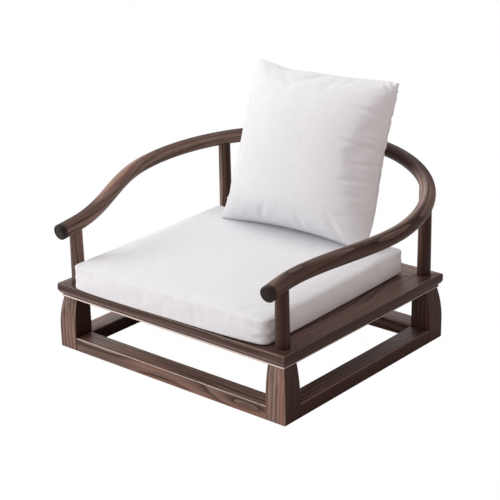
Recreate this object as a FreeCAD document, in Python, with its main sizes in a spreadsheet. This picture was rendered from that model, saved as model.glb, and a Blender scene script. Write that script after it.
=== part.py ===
import FreeCAD, Part
import math
import os
import Sketcher

Vector = FreeCAD.Vector
Rotation = FreeCAD.Rotation
Placement = FreeCAD.Placement
X_AXIS = Vector(1, 0, 0)
Y_AXIS = Vector(0, 1, 0)
Z_AXIS = Vector(0, 0, 1)

# Driving dimensions in millimetres, with angles in degrees
SIZES = [
    ("seat_width", 650, "seat frame across its outer edges"),
    ("seat_depth", 567, "seat frame from front edge to back edge"),
    ("seat_height", 153, "floor to the top of the seat frame"),
    ("edge_height", 23, "flat moulded face of the seat frame"),
    ("edge_rounding", 2.5, "rounded upper arris of the seat frame"),
    ("edge_undercut", 4, "taper of the moulded face towards its foot"),
    ("edge_taper_height", 7, "height over which the moulded face tapers"),
    ("cove_height", 3, "shadow line under the moulded face"),
    ("cove_depth", 10, "shadow line behind the outer edge"),
    ("bead_height", 5.5, "bead that closes the moulding"),
    ("bead_inset", 6, "bead behind the outer edge"),
    ("frame_member", 80, "width of each mitred seat frame member"),
    ("panel_thickness", 15, "floating seat panel"),
    ("panel_gap", 1, "room for the panel to move in the frame"),
    ("tongue_thickness", 7, "tongue round the seat panel"),
    ("tongue_length", 9, "reach of the tongue into its groove"),
    ("batten_width", 42, "cross batten under the panel"),
    ("batten_spacing", 230, "between the two battens' centre lines"),
    ("batten_tenon", 12, "batten ends let into the frame"),
    ("batten_shoulder", 3, "batten's shoulder round its tenons"),
    ("dovetail_depth", 5, "batten's dovetail in the panel"),
    ("dovetail_shoulder", 6, "batten's edge to the foot of its dovetail"),
    ("dovetail_flare", 3, "spread of the dovetail on each side"),
    ("key_inset", 74, "outer corner to the loose tenon, along the mitre"),
    ("key_width", 24, "loose tenon along each mitre"),
    ("key_length", 30, "loose tenon across each mitre"),
    ("key_thickness", 8, "loose tenon in each mitre"),
    ("key_level", 11, "loose tenon's middle above the frame's underside"),
    ("leg_size", 50, "leg at the floor, both ways"),
    ("leg_draw", 9, "outer faces drawn in at the top of the leg"),
    ("leg_upright", 45, "height to which the outer faces stay upright"),
    ("leg_rounding", 2.5, "rounded outer arrises of the legs"),
    ("rail_width", 48, "floor rail across the top"),
    ("rail_height", 31, "floor rail from floor to top"),
    ("rail_recess", 1, "floor rail behind the legs' outer faces"),
    ("rail_rounding", 3, "rounded arrises of the floor rails"),
    ("rail_tenon", 14, "thickness of the floor rails' tenons"),
    ("rail_haunch", 5, "floor rail above and below its tenons"),
    ("tenon_gap", 0.5, "room at the ends of the tenons"),
    ("post_side", 33, "posts' centre lines inside the seat frame's side edges"),
    ("front_post_inset", 35.5, "front posts' centre lines behind the seat frame's front edge"),
    ("rear_post_inset", 28.9, "rear posts' centre lines ahead of the seat frame's back edge"),
    ("post_foot", 31, "post diameter on the seat"),
    ("post_neck", 28.5, "post diameter under the arm"),
    ("post_tenon", 18, "diameter of the posts' tenons"),
    ("foot_tenon", 16, "foot tenon past the seat frame, into the leg"),
    ("neck_tenon", 8, "neck tenon past the arm's centre line"),
    ("bow_spread", 84, "horseshoe's widest point outside the posts"),
    ("bow_depth", 320, "from the widest point to the middle of the back"),
    ("tip_overhang", 49, "arm tips ahead of the front posts"),
    ("flare_start", 3, "arms turn out from this far behind the front posts"),
    ("arm_flare", 1.7, "arm tips turned out past the front posts"),
    ("tip_height", 281.5, "floor to the arm's centre line at its tip"),
    ("arm_rise", 0.1563, "rise of the arm for each unit towards the back"),
    ("crest_height", 390, "floor to the centre line at the middle of the back"),
    ("tip_diameter", 35.5, "horseshoe at the arm tips"),
    ("crest_diameter", 32.5, "horseshoe at the middle of the back"),
    ("tip_rounding", 4, "rounded ends of the arms"),
    ("crest_half_span", 178, "middle of the back to its scarf joints"),
    ("scarf_length", 64, "overlap of each scarf joint"),
    ("peg_diameter", 8, "pegs up through each scarf joint"),
    ("peg_spacing", 30, "between the two pegs of a joint"),
    ("peg_length", 18, "pegs of the scarf joints"),
    ("splat_width", 112, "back splat"),
    ("splat_thickness", 12, "back splat"),
    ("splat_inset", 34.5, "splat's middle plane ahead of the seat frame's back edge"),
    ("splat_upright", 48, "height to which the splat stands upright"),
    ("splat_tongue", 64, "width of the splat's tongues"),
    ("splat_foot", 12, "depth of the splat's lower tongue"),
    ("rest_gap", 0.3, "between a loose piece and what it lies on"),
    ("cushion_left", 45, "seat frame's left edge to the seat cushion"),
    ("cushion_right", 67, "seat frame's right edge to the seat cushion"),
    ("cushion_front", 7, "seat frame's front edge to the seat cushion"),
    ("cushion_back", 54, "seat frame's back edge to the seat cushion"),
    ("cushion_height", 55, "side band of the seat cushion"),
    ("cushion_crown", 7, "middle of the cushion above its side band"),
    ("cushion_draw", 3, "sides drawn in between the corners"),
    ("cushion_round", 13, "upright edges of the cushion"),
    ("cushion_edge", 7, "upper and lower edges of the cushion"),
    ("cushion_turn", 1.8, "how far the cushion sits askew"),
    ("cloth", 1.2, "thickness of the covers"),
    ("fill_gap", 0.3, "between a cover and its filling"),
    ("pillow_width", 392, "back pillow between its side seams"),
    ("pillow_height", 386, "back pillow from corner to corner"),
    ("pillow_thickness", 176, "back pillow at its middle"),
    ("pillow_seam", 12, "back pillow at its seams"),
    ("pillow_draw", 12, "seams drawn in between the corners"),
    ("pillow_offset", 4, "pillow to the side of the middle"),
    ("pillow_gap", 0.46, "between the pillow and the splat or crest that it leans on"),
    ("pillow_lift", 4.5, "pillow's lower seam over the cushion's side band"),
    ("pillow_lean", 21.5, "how far the pillow leans back"),
    ("pillow_turn", 2, "how far the pillow is turned"),
    ("seat_zip_length", 460, "seat cushion's zip"),
    ("seat_tape_width", 22, "tape of the seat cushion's zip"),
    ("pillow_zip_length", 300, "pillow's zip"),
    ("pillow_tape_width", 10, "tape of the pillow's zip"),
    ("tape_end", 10, "zip tapes past the coil"),
    ("tape_thickness", 0.8, "zip tapes"),
    ("coil_width", 4, "coil of the zips"),
    ("coil_height", 1.8, "coil of the zips above the tape"),
    ("stop_length", 2.5, "stops at the ends of the coils"),
    ("stop_width", 5.6, "stops at the ends of the coils"),
    ("slider_length", 10, "zip sliders along the coil"),
    ("slider_width", 8.4, "zip sliders across the coil"),
    ("slider_wall", 1, "plate of the zip sliders over the coil"),
    ("slider_gap", 0.3, "zip sliders round the coil"),
    ("lug_length", 3.4, "lugs that hold a zip pull's bar"),
    ("lug_wall", 1, "lugs that hold a zip pull's bar"),
    ("pivot_diameter", 1.4, "bar that a zip pull swings on"),
    ("pivot_gap", 0.2, "zip pull round its bar and beside the lugs"),
    ("eye_wall", 0.9, "zip pull's eye round the bar"),
    ("pull_length", 22, "zip pulls from the bar to the end"),
    ("pull_width", 4.6, "zip pulls"),
    ("pull_thickness", 1.3, "zip pulls"),
]

# Counts and shares that aren't lengths
ARM_SECTIONS = 10
BEND_SECTIONS = 9
CREST_SECTIONS = 11
PILLOW_SPANS = 14
PILLOW_TAPER = 0.6  # how soon the pillow thins towards its side seams: 0.5 is an ellipse
PILLOW_REACH = 0.999  # share of the swell's full reach at a side seam, which leaves the seam open
REST_STEPS = 25  # places along each half of the pillow where it may meet the back
CROWN_SHARES = (0.8, 0.55, 0.3)  # cushion's sections between its corner and its middle
HALF_ROUND = 0.5001  # half of a bead's height, and a hair over, so that its arc can close
ALMOST = 0.01  # two lengths closer than this are the same
WAY_STEP = 0.002

doc = FreeCAD.newDocument("floor_chair")
sheet = doc.addObject("Spreadsheet::Sheet", "dims")
for row, (alias, value, note) in enumerate(SIZES, start=1):
    sheet.set(f"A{row}", note)
    sheet.set(f"B{row}", str(value))
    sheet.setAlias(f"B{row}", alias)
doc.recompute()
size = {alias: float(sheet.get(alias)) for alias, _, _ in SIZES}


def bound(text):
    """The expression with each alias in it read from the sheet."""
    words = []
    word = ""
    for letter in str(text) + " ":
        if letter.isalnum() or letter in "_.":
            word += letter
            continue
        words.append(f"dims.{word}" if word in size else word)
        words.append(letter)
        word = ""
    return "".join(words).strip()


def number(text):
    """What an expression over the sheet's aliases comes to."""
    return float(sheet.evalExpression(bound(text)))


# Expressions that several pieces share
frame_height = "(edge_height + cove_height + bead_height)"
leg_height = f"(seat_height - {frame_height})"
post_line = "(seat_width / 2 - post_side)"
bow_width = f"({post_line} + bow_spread)"
front_post_reach = "(seat_depth / 2 - front_post_inset)"
rear_post_reach = "(seat_depth / 2 - rear_post_inset)"
rear_share = f"sqrt(1 - ({post_line} / {bow_width}) ^ 2)"
bow_middle = f"({rear_post_reach} - bow_depth * {rear_share})"
arm_reach = f"({front_post_reach} + tip_overhang)"
middle_rise = f"(tip_height + arm_rise * ({arm_reach} + {bow_middle}))"
back_ease = f"(crest_height - {middle_rise} - arm_rise * bow_depth)"
front_arm_height = "(tip_height + arm_rise * tip_overhang)"
rear_arm_height = (f"({middle_rise} + arm_rise * bow_depth * {rear_share}"
                   f" + {back_ease} * {rear_share} ^ 2)")
front_end = f"({arm_reach} + arm_rise * tip_diameter / 2)"
back_end = f"({bow_middle} + bow_depth + crest_diameter / 2)"
chair_shift = f"(({front_end} - {back_end}) / 2)"
splat_line = "(seat_depth / 2 - splat_inset)"
cushion_width = "(seat_width - cushion_left - cushion_right)"
cushion_depth = "(seat_depth - cushion_front - cushion_back)"
SHIFT = Vector(0, number(chair_shift), 0)

pieces = []


def keep(piece, label):
    """Names a finished sub-part and lists it for the export."""
    piece.Label = label
    pieces.append(piece)
    return piece


def place(piece, x=0, y=0, z=0, turn=0):
    """Stands a piece in the chair with its place bound to the sheet, turned about the vertical."""
    piece.Placement = Placement(Vector(), Rotation(Z_AXIS, turn))
    piece.setExpression("Placement.Base.x", bound(x))
    piece.setExpression("Placement.Base.y", bound(f"{y} + {chair_shift}"))
    piece.setExpression("Placement.Base.z", bound(z))


def new_sketch(body, name, plane, lift):
    """Empty sketch on one of the body's own planes, lifted off it by an expression."""
    sketch = body.newObject("Sketcher::SketchObject", name)
    origin_plane = [item for item in body.Origin.OriginFeatures if item.Role == plane][0]
    sketch.AttachmentSupport = (origin_plane, [""])
    sketch.MapMode = "FlatFace"
    if lift is not None:
        sketch.setExpression("AttachmentOffset.Base.z", bound(lift))
    return sketch


def fix(sketch, constraint, text):
    index = sketch.addConstraint(constraint)
    sketch.setExpression(f"Constraints[{index}]", bound(text))


def outline(body, name, plane, corners, lift=None):
    """Closed outline. A corner is (x, y), or (x, y, radius, side) where the edge that leaves it is
    an arc, with its centre to the left of the way round (side 1) or to the right (side -1)."""
    sketch = new_sketch(body, name, plane, lift)
    points = [Vector(number(corner[0]), number(corner[1]), 0) for corner in corners]
    starts, ends = [], []
    for i, corner in enumerate(corners):
        a, b = points[i], points[(i + 1) % len(points)]
        if len(corner) == 2:
            sketch.addGeometry(Part.LineSegment(a, b))
            starts.append((i, 1))
            ends.append((i, 2))
            continue
        radius, side = number(corner[2]), corner[3]
        half = (b - a) * 0.5
        towards = Vector(-half.y, half.x, 0).normalize() * side
        centre = a + half + towards * math.sqrt(max(radius ** 2 - half.Length ** 2, 0))
        if side < 0:
            a, b = b, a
        start = math.atan2(a.y - centre.y, a.x - centre.x)
        end = math.atan2(b.y - centre.y, b.x - centre.x)
        sketch.addGeometry(Part.ArcOfCircle(Part.Circle(centre, Z_AXIS, radius), start, end))
        starts.append((i, 1 if side > 0 else 2))
        ends.append((i, 2 if side > 0 else 1))
    for i, corner in enumerate(corners):
        following = starts[(i + 1) % len(corners)]
        sketch.addConstraint(Sketcher.Constraint("Coincident", *ends[i], *following))
        fix(sketch, Sketcher.Constraint("DistanceX", -1, 1, *starts[i], points[i].x), corner[0])
        fix(sketch, Sketcher.Constraint("DistanceY", -1, 1, *starts[i], points[i].y), corner[1])
        if len(corner) == 4:
            fix(sketch, Sketcher.Constraint("Radius", i, number(corner[2])), corner[2])
    return sketch


def disc(body, name, x, y, diameter, lift=None):
    """Round outline seen from above."""
    sketch = new_sketch(body, name, "XY_Plane", lift)
    centre = Vector(number(x), number(y), 0)
    sketch.addGeometry(Part.Circle(centre, Z_AXIS, number(diameter) / 2))
    fix(sketch, Sketcher.Constraint("Diameter", 0, number(diameter)), diameter)
    fix(sketch, Sketcher.Constraint("DistanceX", -1, 1, 0, 3, centre.x), x)
    fix(sketch, Sketcher.Constraint("DistanceY", -1, 1, 0, 3, centre.y), y)
    return sketch


def rectangle(x1, y1, x2, y2):
    return [(x1, y1), (x2, y1), (x2, y2), (x1, y2)]


def pad(body, sketch, length, both_ways=False):
    feature = body.newObject("PartDesign::Pad", f"{sketch.Name}_pad")
    feature.Profile = sketch
    feature.Midplane = both_ways
    feature.setExpression("Length", bound(length))
    doc.recompute()
    return feature


def pocket(body, sketch, length):
    """Cuts the outline out of the body, both ways from the sketch, and checks that wood went."""
    doc.recompute()
    before = body.Shape.Volume
    feature = body.newObject("PartDesign::Pocket", f"{sketch.Name}_cut")
    feature.Profile = sketch
    feature.Midplane = True
    feature.setExpression("Length", bound(length))
    doc.recompute()
    if body.Shape.Volume > before - 1:
        raise RuntimeError(f"{feature.Name} cuts nothing")
    return feature


# Seat frame: four mitred members with a moulded edge, grooved all round for the panel
def seat_member(label, length, turn, x, y, post_holes, mortises=()):
    body = doc.addObject("PartDesign::Body", f"{label}_body")
    face_foot = f"({frame_height} - edge_height)"
    tongue_middle = f"({frame_height} - panel_thickness / 2)"
    groove = "(frame_member - tongue_length - panel_gap)"
    bead = "(bead_inset + bead_height / 2)"
    moulding = [
        ("0", f"{face_foot} + edge_taper_height"),
        ("edge_undercut", face_foot),
        ("cove_depth", face_foot),
        ("cove_depth", "bead_height"),
        (bead, "bead_height", f"bead_height * {HALF_ROUND}", 1),
        (bead, "0"),
        ("frame_member", "0"),
        ("frame_member", f"{tongue_middle} - tongue_thickness / 2"),
        (groove, f"{tongue_middle} - tongue_thickness / 2"),
        (groove, f"{tongue_middle} + tongue_thickness / 2"),
        ("frame_member", f"{tongue_middle} + tongue_thickness / 2"),
        ("frame_member", frame_height),
        ("edge_rounding", frame_height, "edge_rounding", 1),
        ("0", f"{frame_height} - edge_rounding"),
    ]
    pad(body, outline(body, f"{label}_moulding", "YZ_Plane", moulding), length, both_ways=True)
    for side, word in ((1, "right"), (-1, "left")):
        end = f"{side} * {length} / 2"
        mitre = [(end, "0"), (end, "frame_member + 1"),
                 (f"{end} - {side} * (frame_member + 1)", "frame_member + 1")]
        pocket(body, outline(body, f"{label}_mitre_{word}", "XY_Plane", mitre), f"3 * {frame_height}")
        root = "sqrt(2)"
        middle, across, half = f"key_inset / {root}", f"key_width / 2 / {root}", f"key_length / 2 / {root}"
        key = [(f"{end} - {side} * ({middle} {a} {across} {b} {half})", f"{middle} {a} {across} {c} {half}")
               for a, b, c in (("+", "+", "-"), ("+", "-", "+"), ("-", "-", "+"), ("-", "+", "-"))]
        pocket(body, outline(body, f"{label}_key_{word}", "XY_Plane", key, "key_level"), "key_thickness")
    for i, (hole_x, hole_y) in enumerate(post_holes):
        hole = disc(body, f"{label}_post_{i}", hole_x, hole_y, "post_tenon")
        pocket(body, hole, f"3 * {frame_height}")
    for i, (corners, level, depth) in enumerate(mortises):
        pocket(body, outline(body, f"{label}_mortise_{i}", "XY_Plane", corners, level), depth)
    place(body, x, y, leg_height, turn)
    return keep(body, label)


side_inset, front_inset, rear_inset = "post_side", "front_post_inset", "rear_post_inset"
batten_height = f"({frame_height} - panel_thickness)"
batten_mortises = []
for side in (-1, 1):
    line = f"{side} * batten_spacing / 2"
    reach = "(batten_width / 2 - dovetail_shoulder)"
    slot = rectangle(f"{line} - {reach}", "frame_member - batten_tenon",
                     f"{line} + {reach}", "frame_member + 1")
    batten_mortises.append((slot, f"{batten_height} / 2", f"{batten_height} - 2 * batten_shoulder"))
splat_mortise = (rectangle("-splat_tongue / 2", "splat_inset - splat_thickness / 2",
                           "splat_tongue / 2", "splat_inset + splat_thickness / 2"),
                 f"{frame_height} - splat_foot / 2", "splat_foot")

seat_member("seat_rail_front", "seat_width", 0, 0, "-seat_depth / 2",
            [(f"-{post_line}", front_inset), (post_line, front_inset)], batten_mortises)
seat_member("seat_rail_back", "seat_width", 180, 0, "seat_depth / 2",
            [(f"-{post_line}", rear_inset), (post_line, rear_inset)], [*batten_mortises, splat_mortise])
seat_member("seat_rail_right", "seat_depth", 90, "seat_width / 2", 0,
            [(f"-{front_post_reach}", side_inset), (rear_post_reach, side_inset)])
seat_member("seat_rail_left", "seat_depth", -90, "-seat_width / 2", 0,
            [(front_post_reach, side_inset), (f"-{rear_post_reach}", side_inset)])

# Loose tenons across the four mitres
key_middle = "key_inset / sqrt(2)"
keys = []
for x_side in (-1, 1):
    for y_side in (-1, 1):
        key = doc.addObject("Part::Box", "corner_key")
        key.setExpression("Length", bound("key_length"))
        key.setExpression("Width", bound("key_width"))
        key.setExpression("Height", bound("key_thickness"))
        hand = x_side * y_side
        key.Placement = Placement(Vector(), Rotation(Z_AXIS, -45 * hand))
        key.setExpression("Placement.Base.x", bound(
            f"{x_side} * (seat_width / 2 - {key_middle}) - (key_length + {hand} * key_width) / 2 / sqrt(2)"))
        key.setExpression("Placement.Base.y", bound(
            f"{y_side} * (seat_depth / 2 - {key_middle}) - (key_width - {hand} * key_length) / 2 / sqrt(2)"))
        key.setExpression("Placement.Base.z", bound("key_level - key_thickness / 2"))
        keys.append(key)
corner_tenons = doc.addObject("Part::Compound", "corner_keys")
corner_tenons.Links = keys
place(corner_tenons, z=leg_height)
keep(corner_tenons, "corner_tenons")

# Floating seat panel: tongued all round, with dovetailed housings for the battens below
panel = doc.addObject("PartDesign::Body", "seat_panel_body")
panel_x = "(seat_width / 2 - frame_member - panel_gap)"
panel_y = "(seat_depth / 2 - frame_member - panel_gap)"
reach = "(tongue_length + panel_gap)"
pad(panel, outline(panel, "panel_board", "XY_Plane",
                   rectangle(f"-{panel_x}", f"-{panel_y}", panel_x, panel_y)), "panel_thickness")
pad(panel, outline(panel, "panel_tongue", "XY_Plane",
                   rectangle(f"-{panel_x} - {reach} + panel_gap", f"-{panel_y} - {reach} + panel_gap",
                             f"{panel_x} + {reach}  - panel_gap", f"{panel_y} + {reach} - panel_gap"),
                   "panel_thickness / 2 - tongue_thickness / 2"), "tongue_thickness")
neck = "(batten_width / 2 - dovetail_shoulder)"
for side, word in ((-1, "left"), (1, "right")):
    line = f"{side} * batten_spacing / 2"
    housing = [(f"{line} - {neck}", "0"), (f"{line} + {neck}", "0"),
               (f"{line} + {neck} + dovetail_flare", "dovetail_depth"),
               (f"{line} - {neck} - dovetail_flare", "dovetail_depth")]
    pocket(panel, outline(panel, f"housing_{word}", "XZ_Plane", housing), "seat_depth")
place(panel, z="seat_height - panel_thickness")
keep(panel, "seat_panel")

# Cross battens, dovetailed up into the panel and tenoned into the frame
for side, word in ((-1, "left"), (1, "right")):
    batten = doc.addObject("PartDesign::Body", f"batten_{word}_body")
    inner_depth = "(seat_depth - 2 * frame_member)"
    edge = "batten_width / 2"
    section = [(f"-{edge}", "0"), (edge, "0"), (edge, batten_height), (neck, batten_height),
               (f"{neck} + dovetail_flare", f"{batten_height} + dovetail_depth"),
               (f"-{neck} - dovetail_flare", f"{batten_height} + dovetail_depth"),
               (f"-{neck}", batten_height), (f"-{edge}", batten_height)]
    pad(batten, outline(batten, f"batten_{word}", "XZ_Plane", section), inner_depth, both_ways=True)
    tenon = rectangle(f"-{neck}", "batten_shoulder", neck, f"{batten_height} - batten_shoulder")
    pad(batten, outline(batten, f"batten_tenon_{word}", "XZ_Plane", tenon),
        f"{inner_depth} + 2 * batten_tenon", both_ways=True)
    place(batten, f"{side} * batten_spacing / 2", 0, leg_height)
    keep(batten, f"seat_batten_{word}")


# Legs: square at the floor, with both outer faces curving in towards the seat
def leg(label, turn, x, y, post_x, post_y):
    body = doc.addObject("PartDesign::Body", f"{label}_body")
    bend = f"(({leg_height} - leg_upright) ^ 2 + leg_draw ^ 2) / (2 * leg_draw)"
    side_view = [("0", "0"), ("leg_size", "0"), ("leg_size", leg_height),
                 ("leg_draw", leg_height, bend, 1), ("0", "leg_upright")]
    block = pad(body, outline(body, f"{label}_side", "XZ_Plane", side_view), "leg_size")
    block.Reversed = True
    waste = [("0", "leg_upright", bend, -1), ("leg_draw", leg_height),
             ("-leg_draw", leg_height), ("-leg_draw", "leg_upright")]
    pocket(body, outline(body, f"{label}_front", "YZ_Plane", waste), "3 * leg_size")
    near, far = "leg_size / 2 - rail_tenon / 2", "leg_size / 2 + rail_tenon / 2"
    elbow = [(near, near), ("leg_size + 1", near), ("leg_size + 1", far), (far, far),
             (far, "leg_size + 1"), (near, "leg_size + 1")]
    pocket(body, outline(body, f"{label}_mortise", "XY_Plane", elbow, "rail_height / 2"),
           "rail_height - 2 * rail_haunch")
    bore_depth = "(foot_tenon + tenon_gap)"
    bore = disc(body, f"{label}_bore", post_x, post_y, "post_tenon", f"{leg_height} - {bore_depth} / 2")
    pocket(body, bore, bore_depth)
    arrises = []
    for i, line in enumerate(body.Shape.Edges, start=1):
        middle = line.valueAt((line.FirstParameter + line.LastParameter) / 2)
        on_corner = abs(middle.x - middle.y) < ALMOST and middle.x < number("leg_draw")
        on_floor = middle.z < ALMOST and min(middle.x, middle.y) < ALMOST
        if on_corner or on_floor:
            arrises.append(f"Edge{i}")
    sharp = body.Tip
    rounding = body.newObject("PartDesign::Fillet", f"{label}_arrises")
    rounding.Base = (sharp, arrises)
    rounding.setExpression("Radius", bound("leg_rounding"))
    place(body, x, y, 0, turn)
    return keep(body, label)


left, right = "-seat_width / 2", "seat_width / 2"
front, back = "-seat_depth / 2", "seat_depth / 2"
leg("leg_front_left", 0, left, front, side_inset, front_inset)
leg("leg_front_right", 90, right, front, front_inset, side_inset)
leg("leg_back_right", 180, right, back, side_inset, rear_inset)
leg("leg_back_left", -90, left, back, rear_inset, side_inset)


# Floor rails between the legs, their tenons mitred where they meet inside a leg
def floor_rail(label, span, turn, x, y):
    body = doc.addObject("PartDesign::Body", f"{label}_body")
    length = f"({span} - 2 * leg_size)"
    near, far = "rail_recess", "(rail_recess + rail_width)"
    section = [(near, "0"), (far, "0"), (far, "rail_height - rail_rounding", "rail_rounding", 1),
               (f"{far} - rail_rounding", "rail_height"),
               (f"{near} + rail_rounding", "rail_height", "rail_rounding", 1),
               (near, "rail_height - rail_rounding")]
    pad(body, outline(body, f"{label}_section", "YZ_Plane", section), length, both_ways=True)
    inner, outer = "(leg_size / 2 - rail_tenon / 2)", "(leg_size / 2 + rail_tenon / 2)"
    long_reach = f"({length} / 2 + leg_size - {inner} - tenon_gap)"
    short_reach = f"({length} / 2 + leg_size - {outer} - tenon_gap)"
    tenons = [(f"-{long_reach}", inner), (long_reach, inner), (short_reach, outer), (f"-{short_reach}", outer)]
    pad(body, outline(body, f"{label}_tenons", "XY_Plane", tenons, "rail_height / 2"),
        "rail_height - 2 * rail_haunch", both_ways=True)
    place(body, x, y, 0, turn)
    return keep(body, label)


floor_rail("floor_rail_front", "seat_width", 0, 0, front)
floor_rail("floor_rail_back", "seat_width", 180, 0, back)
floor_rail("floor_rail_right", "seat_depth", 90, right, 0)
floor_rail("floor_rail_left", "seat_depth", -90, left, 0)


# Horseshoe: its centre line goes from the right tip (0) past the widest point (1), the middle of
# the back (2) and the left side's widest point (3) to the left tip (4)
tip_reach, turn_out = number(arm_reach), number(f"{front_post_reach} - flare_start")
widest, side_line = number(bow_middle), number(post_line)
side_height, late_rise = number(middle_rise), number(back_ease)


def bow_point(way):
    if way > 2:
        mirrored = bow_point(4 - way)
        return Vector(-mirrored.x, mirrored.y, mirrored.z)
    if way > 1:
        angle = (way - 1) * math.pi / 2
        share = math.sin(angle)
        back = size["bow_depth"] * share
        return Vector((side_line + size["bow_spread"]) * math.cos(angle), widest + back,
                      side_height + size["arm_rise"] * back + late_rise * share ** 2)
    y = -tip_reach + way * (tip_reach + widest)
    if y < -turn_out:
        x = side_line + size["arm_flare"] * ((-turn_out - y) / (tip_reach - turn_out)) ** 2
    else:
        share = (y + turn_out) / (turn_out + widest)
        x = side_line + size["bow_spread"] * share ** 2 * (3 - 2 * share)
    return Vector(x, y, size["tip_height"] + size["arm_rise"] * (y + tip_reach))


def bow_frame(way):
    """Place on the centre line, with x sideways, y upwards and z along it."""
    along = (bow_point(way + WAY_STEP) - bow_point(way - WAY_STEP)).normalize()
    sideways = along.cross(Z_AXIS).normalize()
    return Placement(bow_point(way), Rotation(sideways, Vector(), along, "ZXY"))


def steps_for(length, way):
    """How far along the centre line's own scale a length reaches."""
    return length / (bow_point(way + WAY_STEP) - bow_point(way - WAY_STEP)).Length * 2 * WAY_STEP


def bow_section(way, trim=0):
    """Round section of the horseshoe, as four quarter arcs."""
    share = 1 - abs(way - 2) / 2
    radius = (size["tip_diameter"] * (1 - share) + size["crest_diameter"] * share) / 2 - trim
    quarters = []
    for turn in range(4):
        points = [Vector(radius * math.cos(angle), radius * math.sin(angle), 0)
                  for angle in (turn * math.pi / 2, (turn + 0.5) * math.pi / 2, (turn + 1) * math.pi / 2)]
        quarters.append(Part.Arc(*points).toShape())
    wire = Part.Wire(quarters)
    wire.Placement = bow_frame(way)
    return wire


def bow_length(start, end, sections):
    ways = [start + (end - start) * i / (sections - 1) for i in range(sections)]
    return Part.makeLoft([bow_section(way) for way in ways], True, False)


def slab(frame, near, far, low, high):
    """Block laid in a frame of the centre line: from near to far along it, from low to high."""
    wide = 2 * size["tip_diameter"]
    block = Part.makeBox(wide, high - low, far - near, Vector(-wide / 2, low, near))
    block.Placement = frame
    return block


def rod(radius, length, start, axis):
    return Part.makeCylinder(radius, length, start, axis)


crest_way = 1 + math.acos(size["crest_half_span"] / number(bow_width)) / (math.pi / 2)
joints = [1, crest_way, 4 - crest_way, 3]
overlap = size["scarf_length"] / 2
big = 3 * size["tip_diameter"]

pegs = []
for way in joints:
    frame = bow_frame(way)
    for side in (-1, 1):
        foot = Vector(0, -size["peg_length"] / 2, side * size["peg_spacing"] / 2)
        peg = rod(size["peg_diameter"] / 2, size["peg_length"], foot, Y_AXIS)
        peg.Placement = frame
        pegs.append(peg)

post_bores = []
for x_side in (-1, 1):
    for y, height in ((-number(front_post_reach), number(front_arm_height)),
                      (number(rear_post_reach), number(rear_arm_height))):
        foot = Vector(x_side * side_line, y, height - size["tip_diameter"])
        deep = size["tip_diameter"] + size["neck_tenon"] + size["tenon_gap"]
        post_bores.append(rod(size["post_tenon"] / 2, deep, foot, Z_AXIS))


# The splat leaves its upright foot in one arc, which ends in the crest's centre line
sweep_across = f"({bow_middle} + bow_depth - {splat_line})"
sweep_rise = "(crest_height - seat_height - splat_upright)"
sweep = f"(({sweep_across} ^ 2 + {sweep_rise} ^ 2) / (2 * {sweep_across}))"
sweep_radius, splat_middle = number(sweep), number(splat_line)
sweep_foot = number("seat_height + splat_upright")


def splat_sweep(thickness, width, extra):
    """The splat's swept part, from where it leaves the upright to the crest's centre line."""
    radius = sweep_radius
    turn = 2 * math.atan2(number(sweep_across), number(sweep_rise)) + extra / radius
    centre = Vector(-width / 2, splat_middle + radius, sweep_foot)

    def at(reach, angle):
        return centre + Vector(0, -reach * math.cos(angle), reach * math.sin(angle))

    outer, inner = radius + thickness / 2, radius - thickness / 2
    edges = [Part.Arc(at(outer, 0), at(outer, turn / 2), at(outer, turn)).toShape(),
             Part.LineSegment(at(outer, turn), at(inner, turn)).toShape(),
             Part.Arc(at(inner, turn), at(inner, turn / 2), at(inner, 0)).toShape(),
             Part.LineSegment(at(inner, 0), at(outer, 0)).toShape()]
    return Part.Face(Part.Wire(edges)).extrude(Vector(width, 0, 0))


def bow_piece(label, start, end, sections):
    """One length of the horseshoe. Its stepped scarfs lie under the next piece and over the last."""
    first, last = start in joints, end in joints
    spare = overlap + size["peg_diameter"]
    shape = bow_length(start - (steps_for(spare, start) if first else 0),
                       end + (steps_for(spare, end) if last else 0), sections)
    cutters = list(pegs) + list(post_bores)
    if last:
        frame = bow_frame(end)
        cutters += [slab(frame, overlap, big, -big, big), slab(frame, -overlap, big, 0, big)]
    if first:
        frame = bow_frame(start)
        cutters += [slab(frame, -big, -overlap, -big, big), slab(frame, -big, overlap, -big, 0)]
    if label == "crest":
        cutters.append(splat_sweep(size["splat_thickness"], size["splat_tongue"], size["tenon_gap"]))
    for cutter in cutters:
        if shape.BoundBox.intersect(cutter.BoundBox):
            shape = shape.cut(cutter)
    tips = [way for way in (start, end) if way not in joints]
    for way in tips:
        rim = [edge for edge in shape.Edges
               if abs(edge.Length - math.pi * size["tip_diameter"] / 4) < size["tip_rounding"] / 8
               and (edge.CenterOfMass - bow_point(way)).Length < size["tip_diameter"] / 2]
        shape = shape.makeFillet(size["tip_rounding"], rim)
    piece = doc.addObject("Part::Feature", f"{label}_shape")
    piece.Shape = shape.Solids[0]
    place(piece)
    return keep(piece, label)


arm_right = bow_piece("arm_right", 0, 1, ARM_SECTIONS)
bend_right = bow_piece("bend_right", 1, crest_way, BEND_SECTIONS)
crest = bow_piece("crest", crest_way, 4 - crest_way, CREST_SECTIONS)
bend_left = bow_piece("bend_left", 4 - crest_way, 3, BEND_SECTIONS)
arm_left = bow_piece("arm_left", 3, 4, ARM_SECTIONS)

scarf_pegs = doc.addObject("Part::Feature", "scarf_pegs_shape")
scarf_pegs.Shape = Part.makeCompound(pegs)
place(scarf_pegs)
keep(scarf_pegs, "scarf_pegs")


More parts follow.
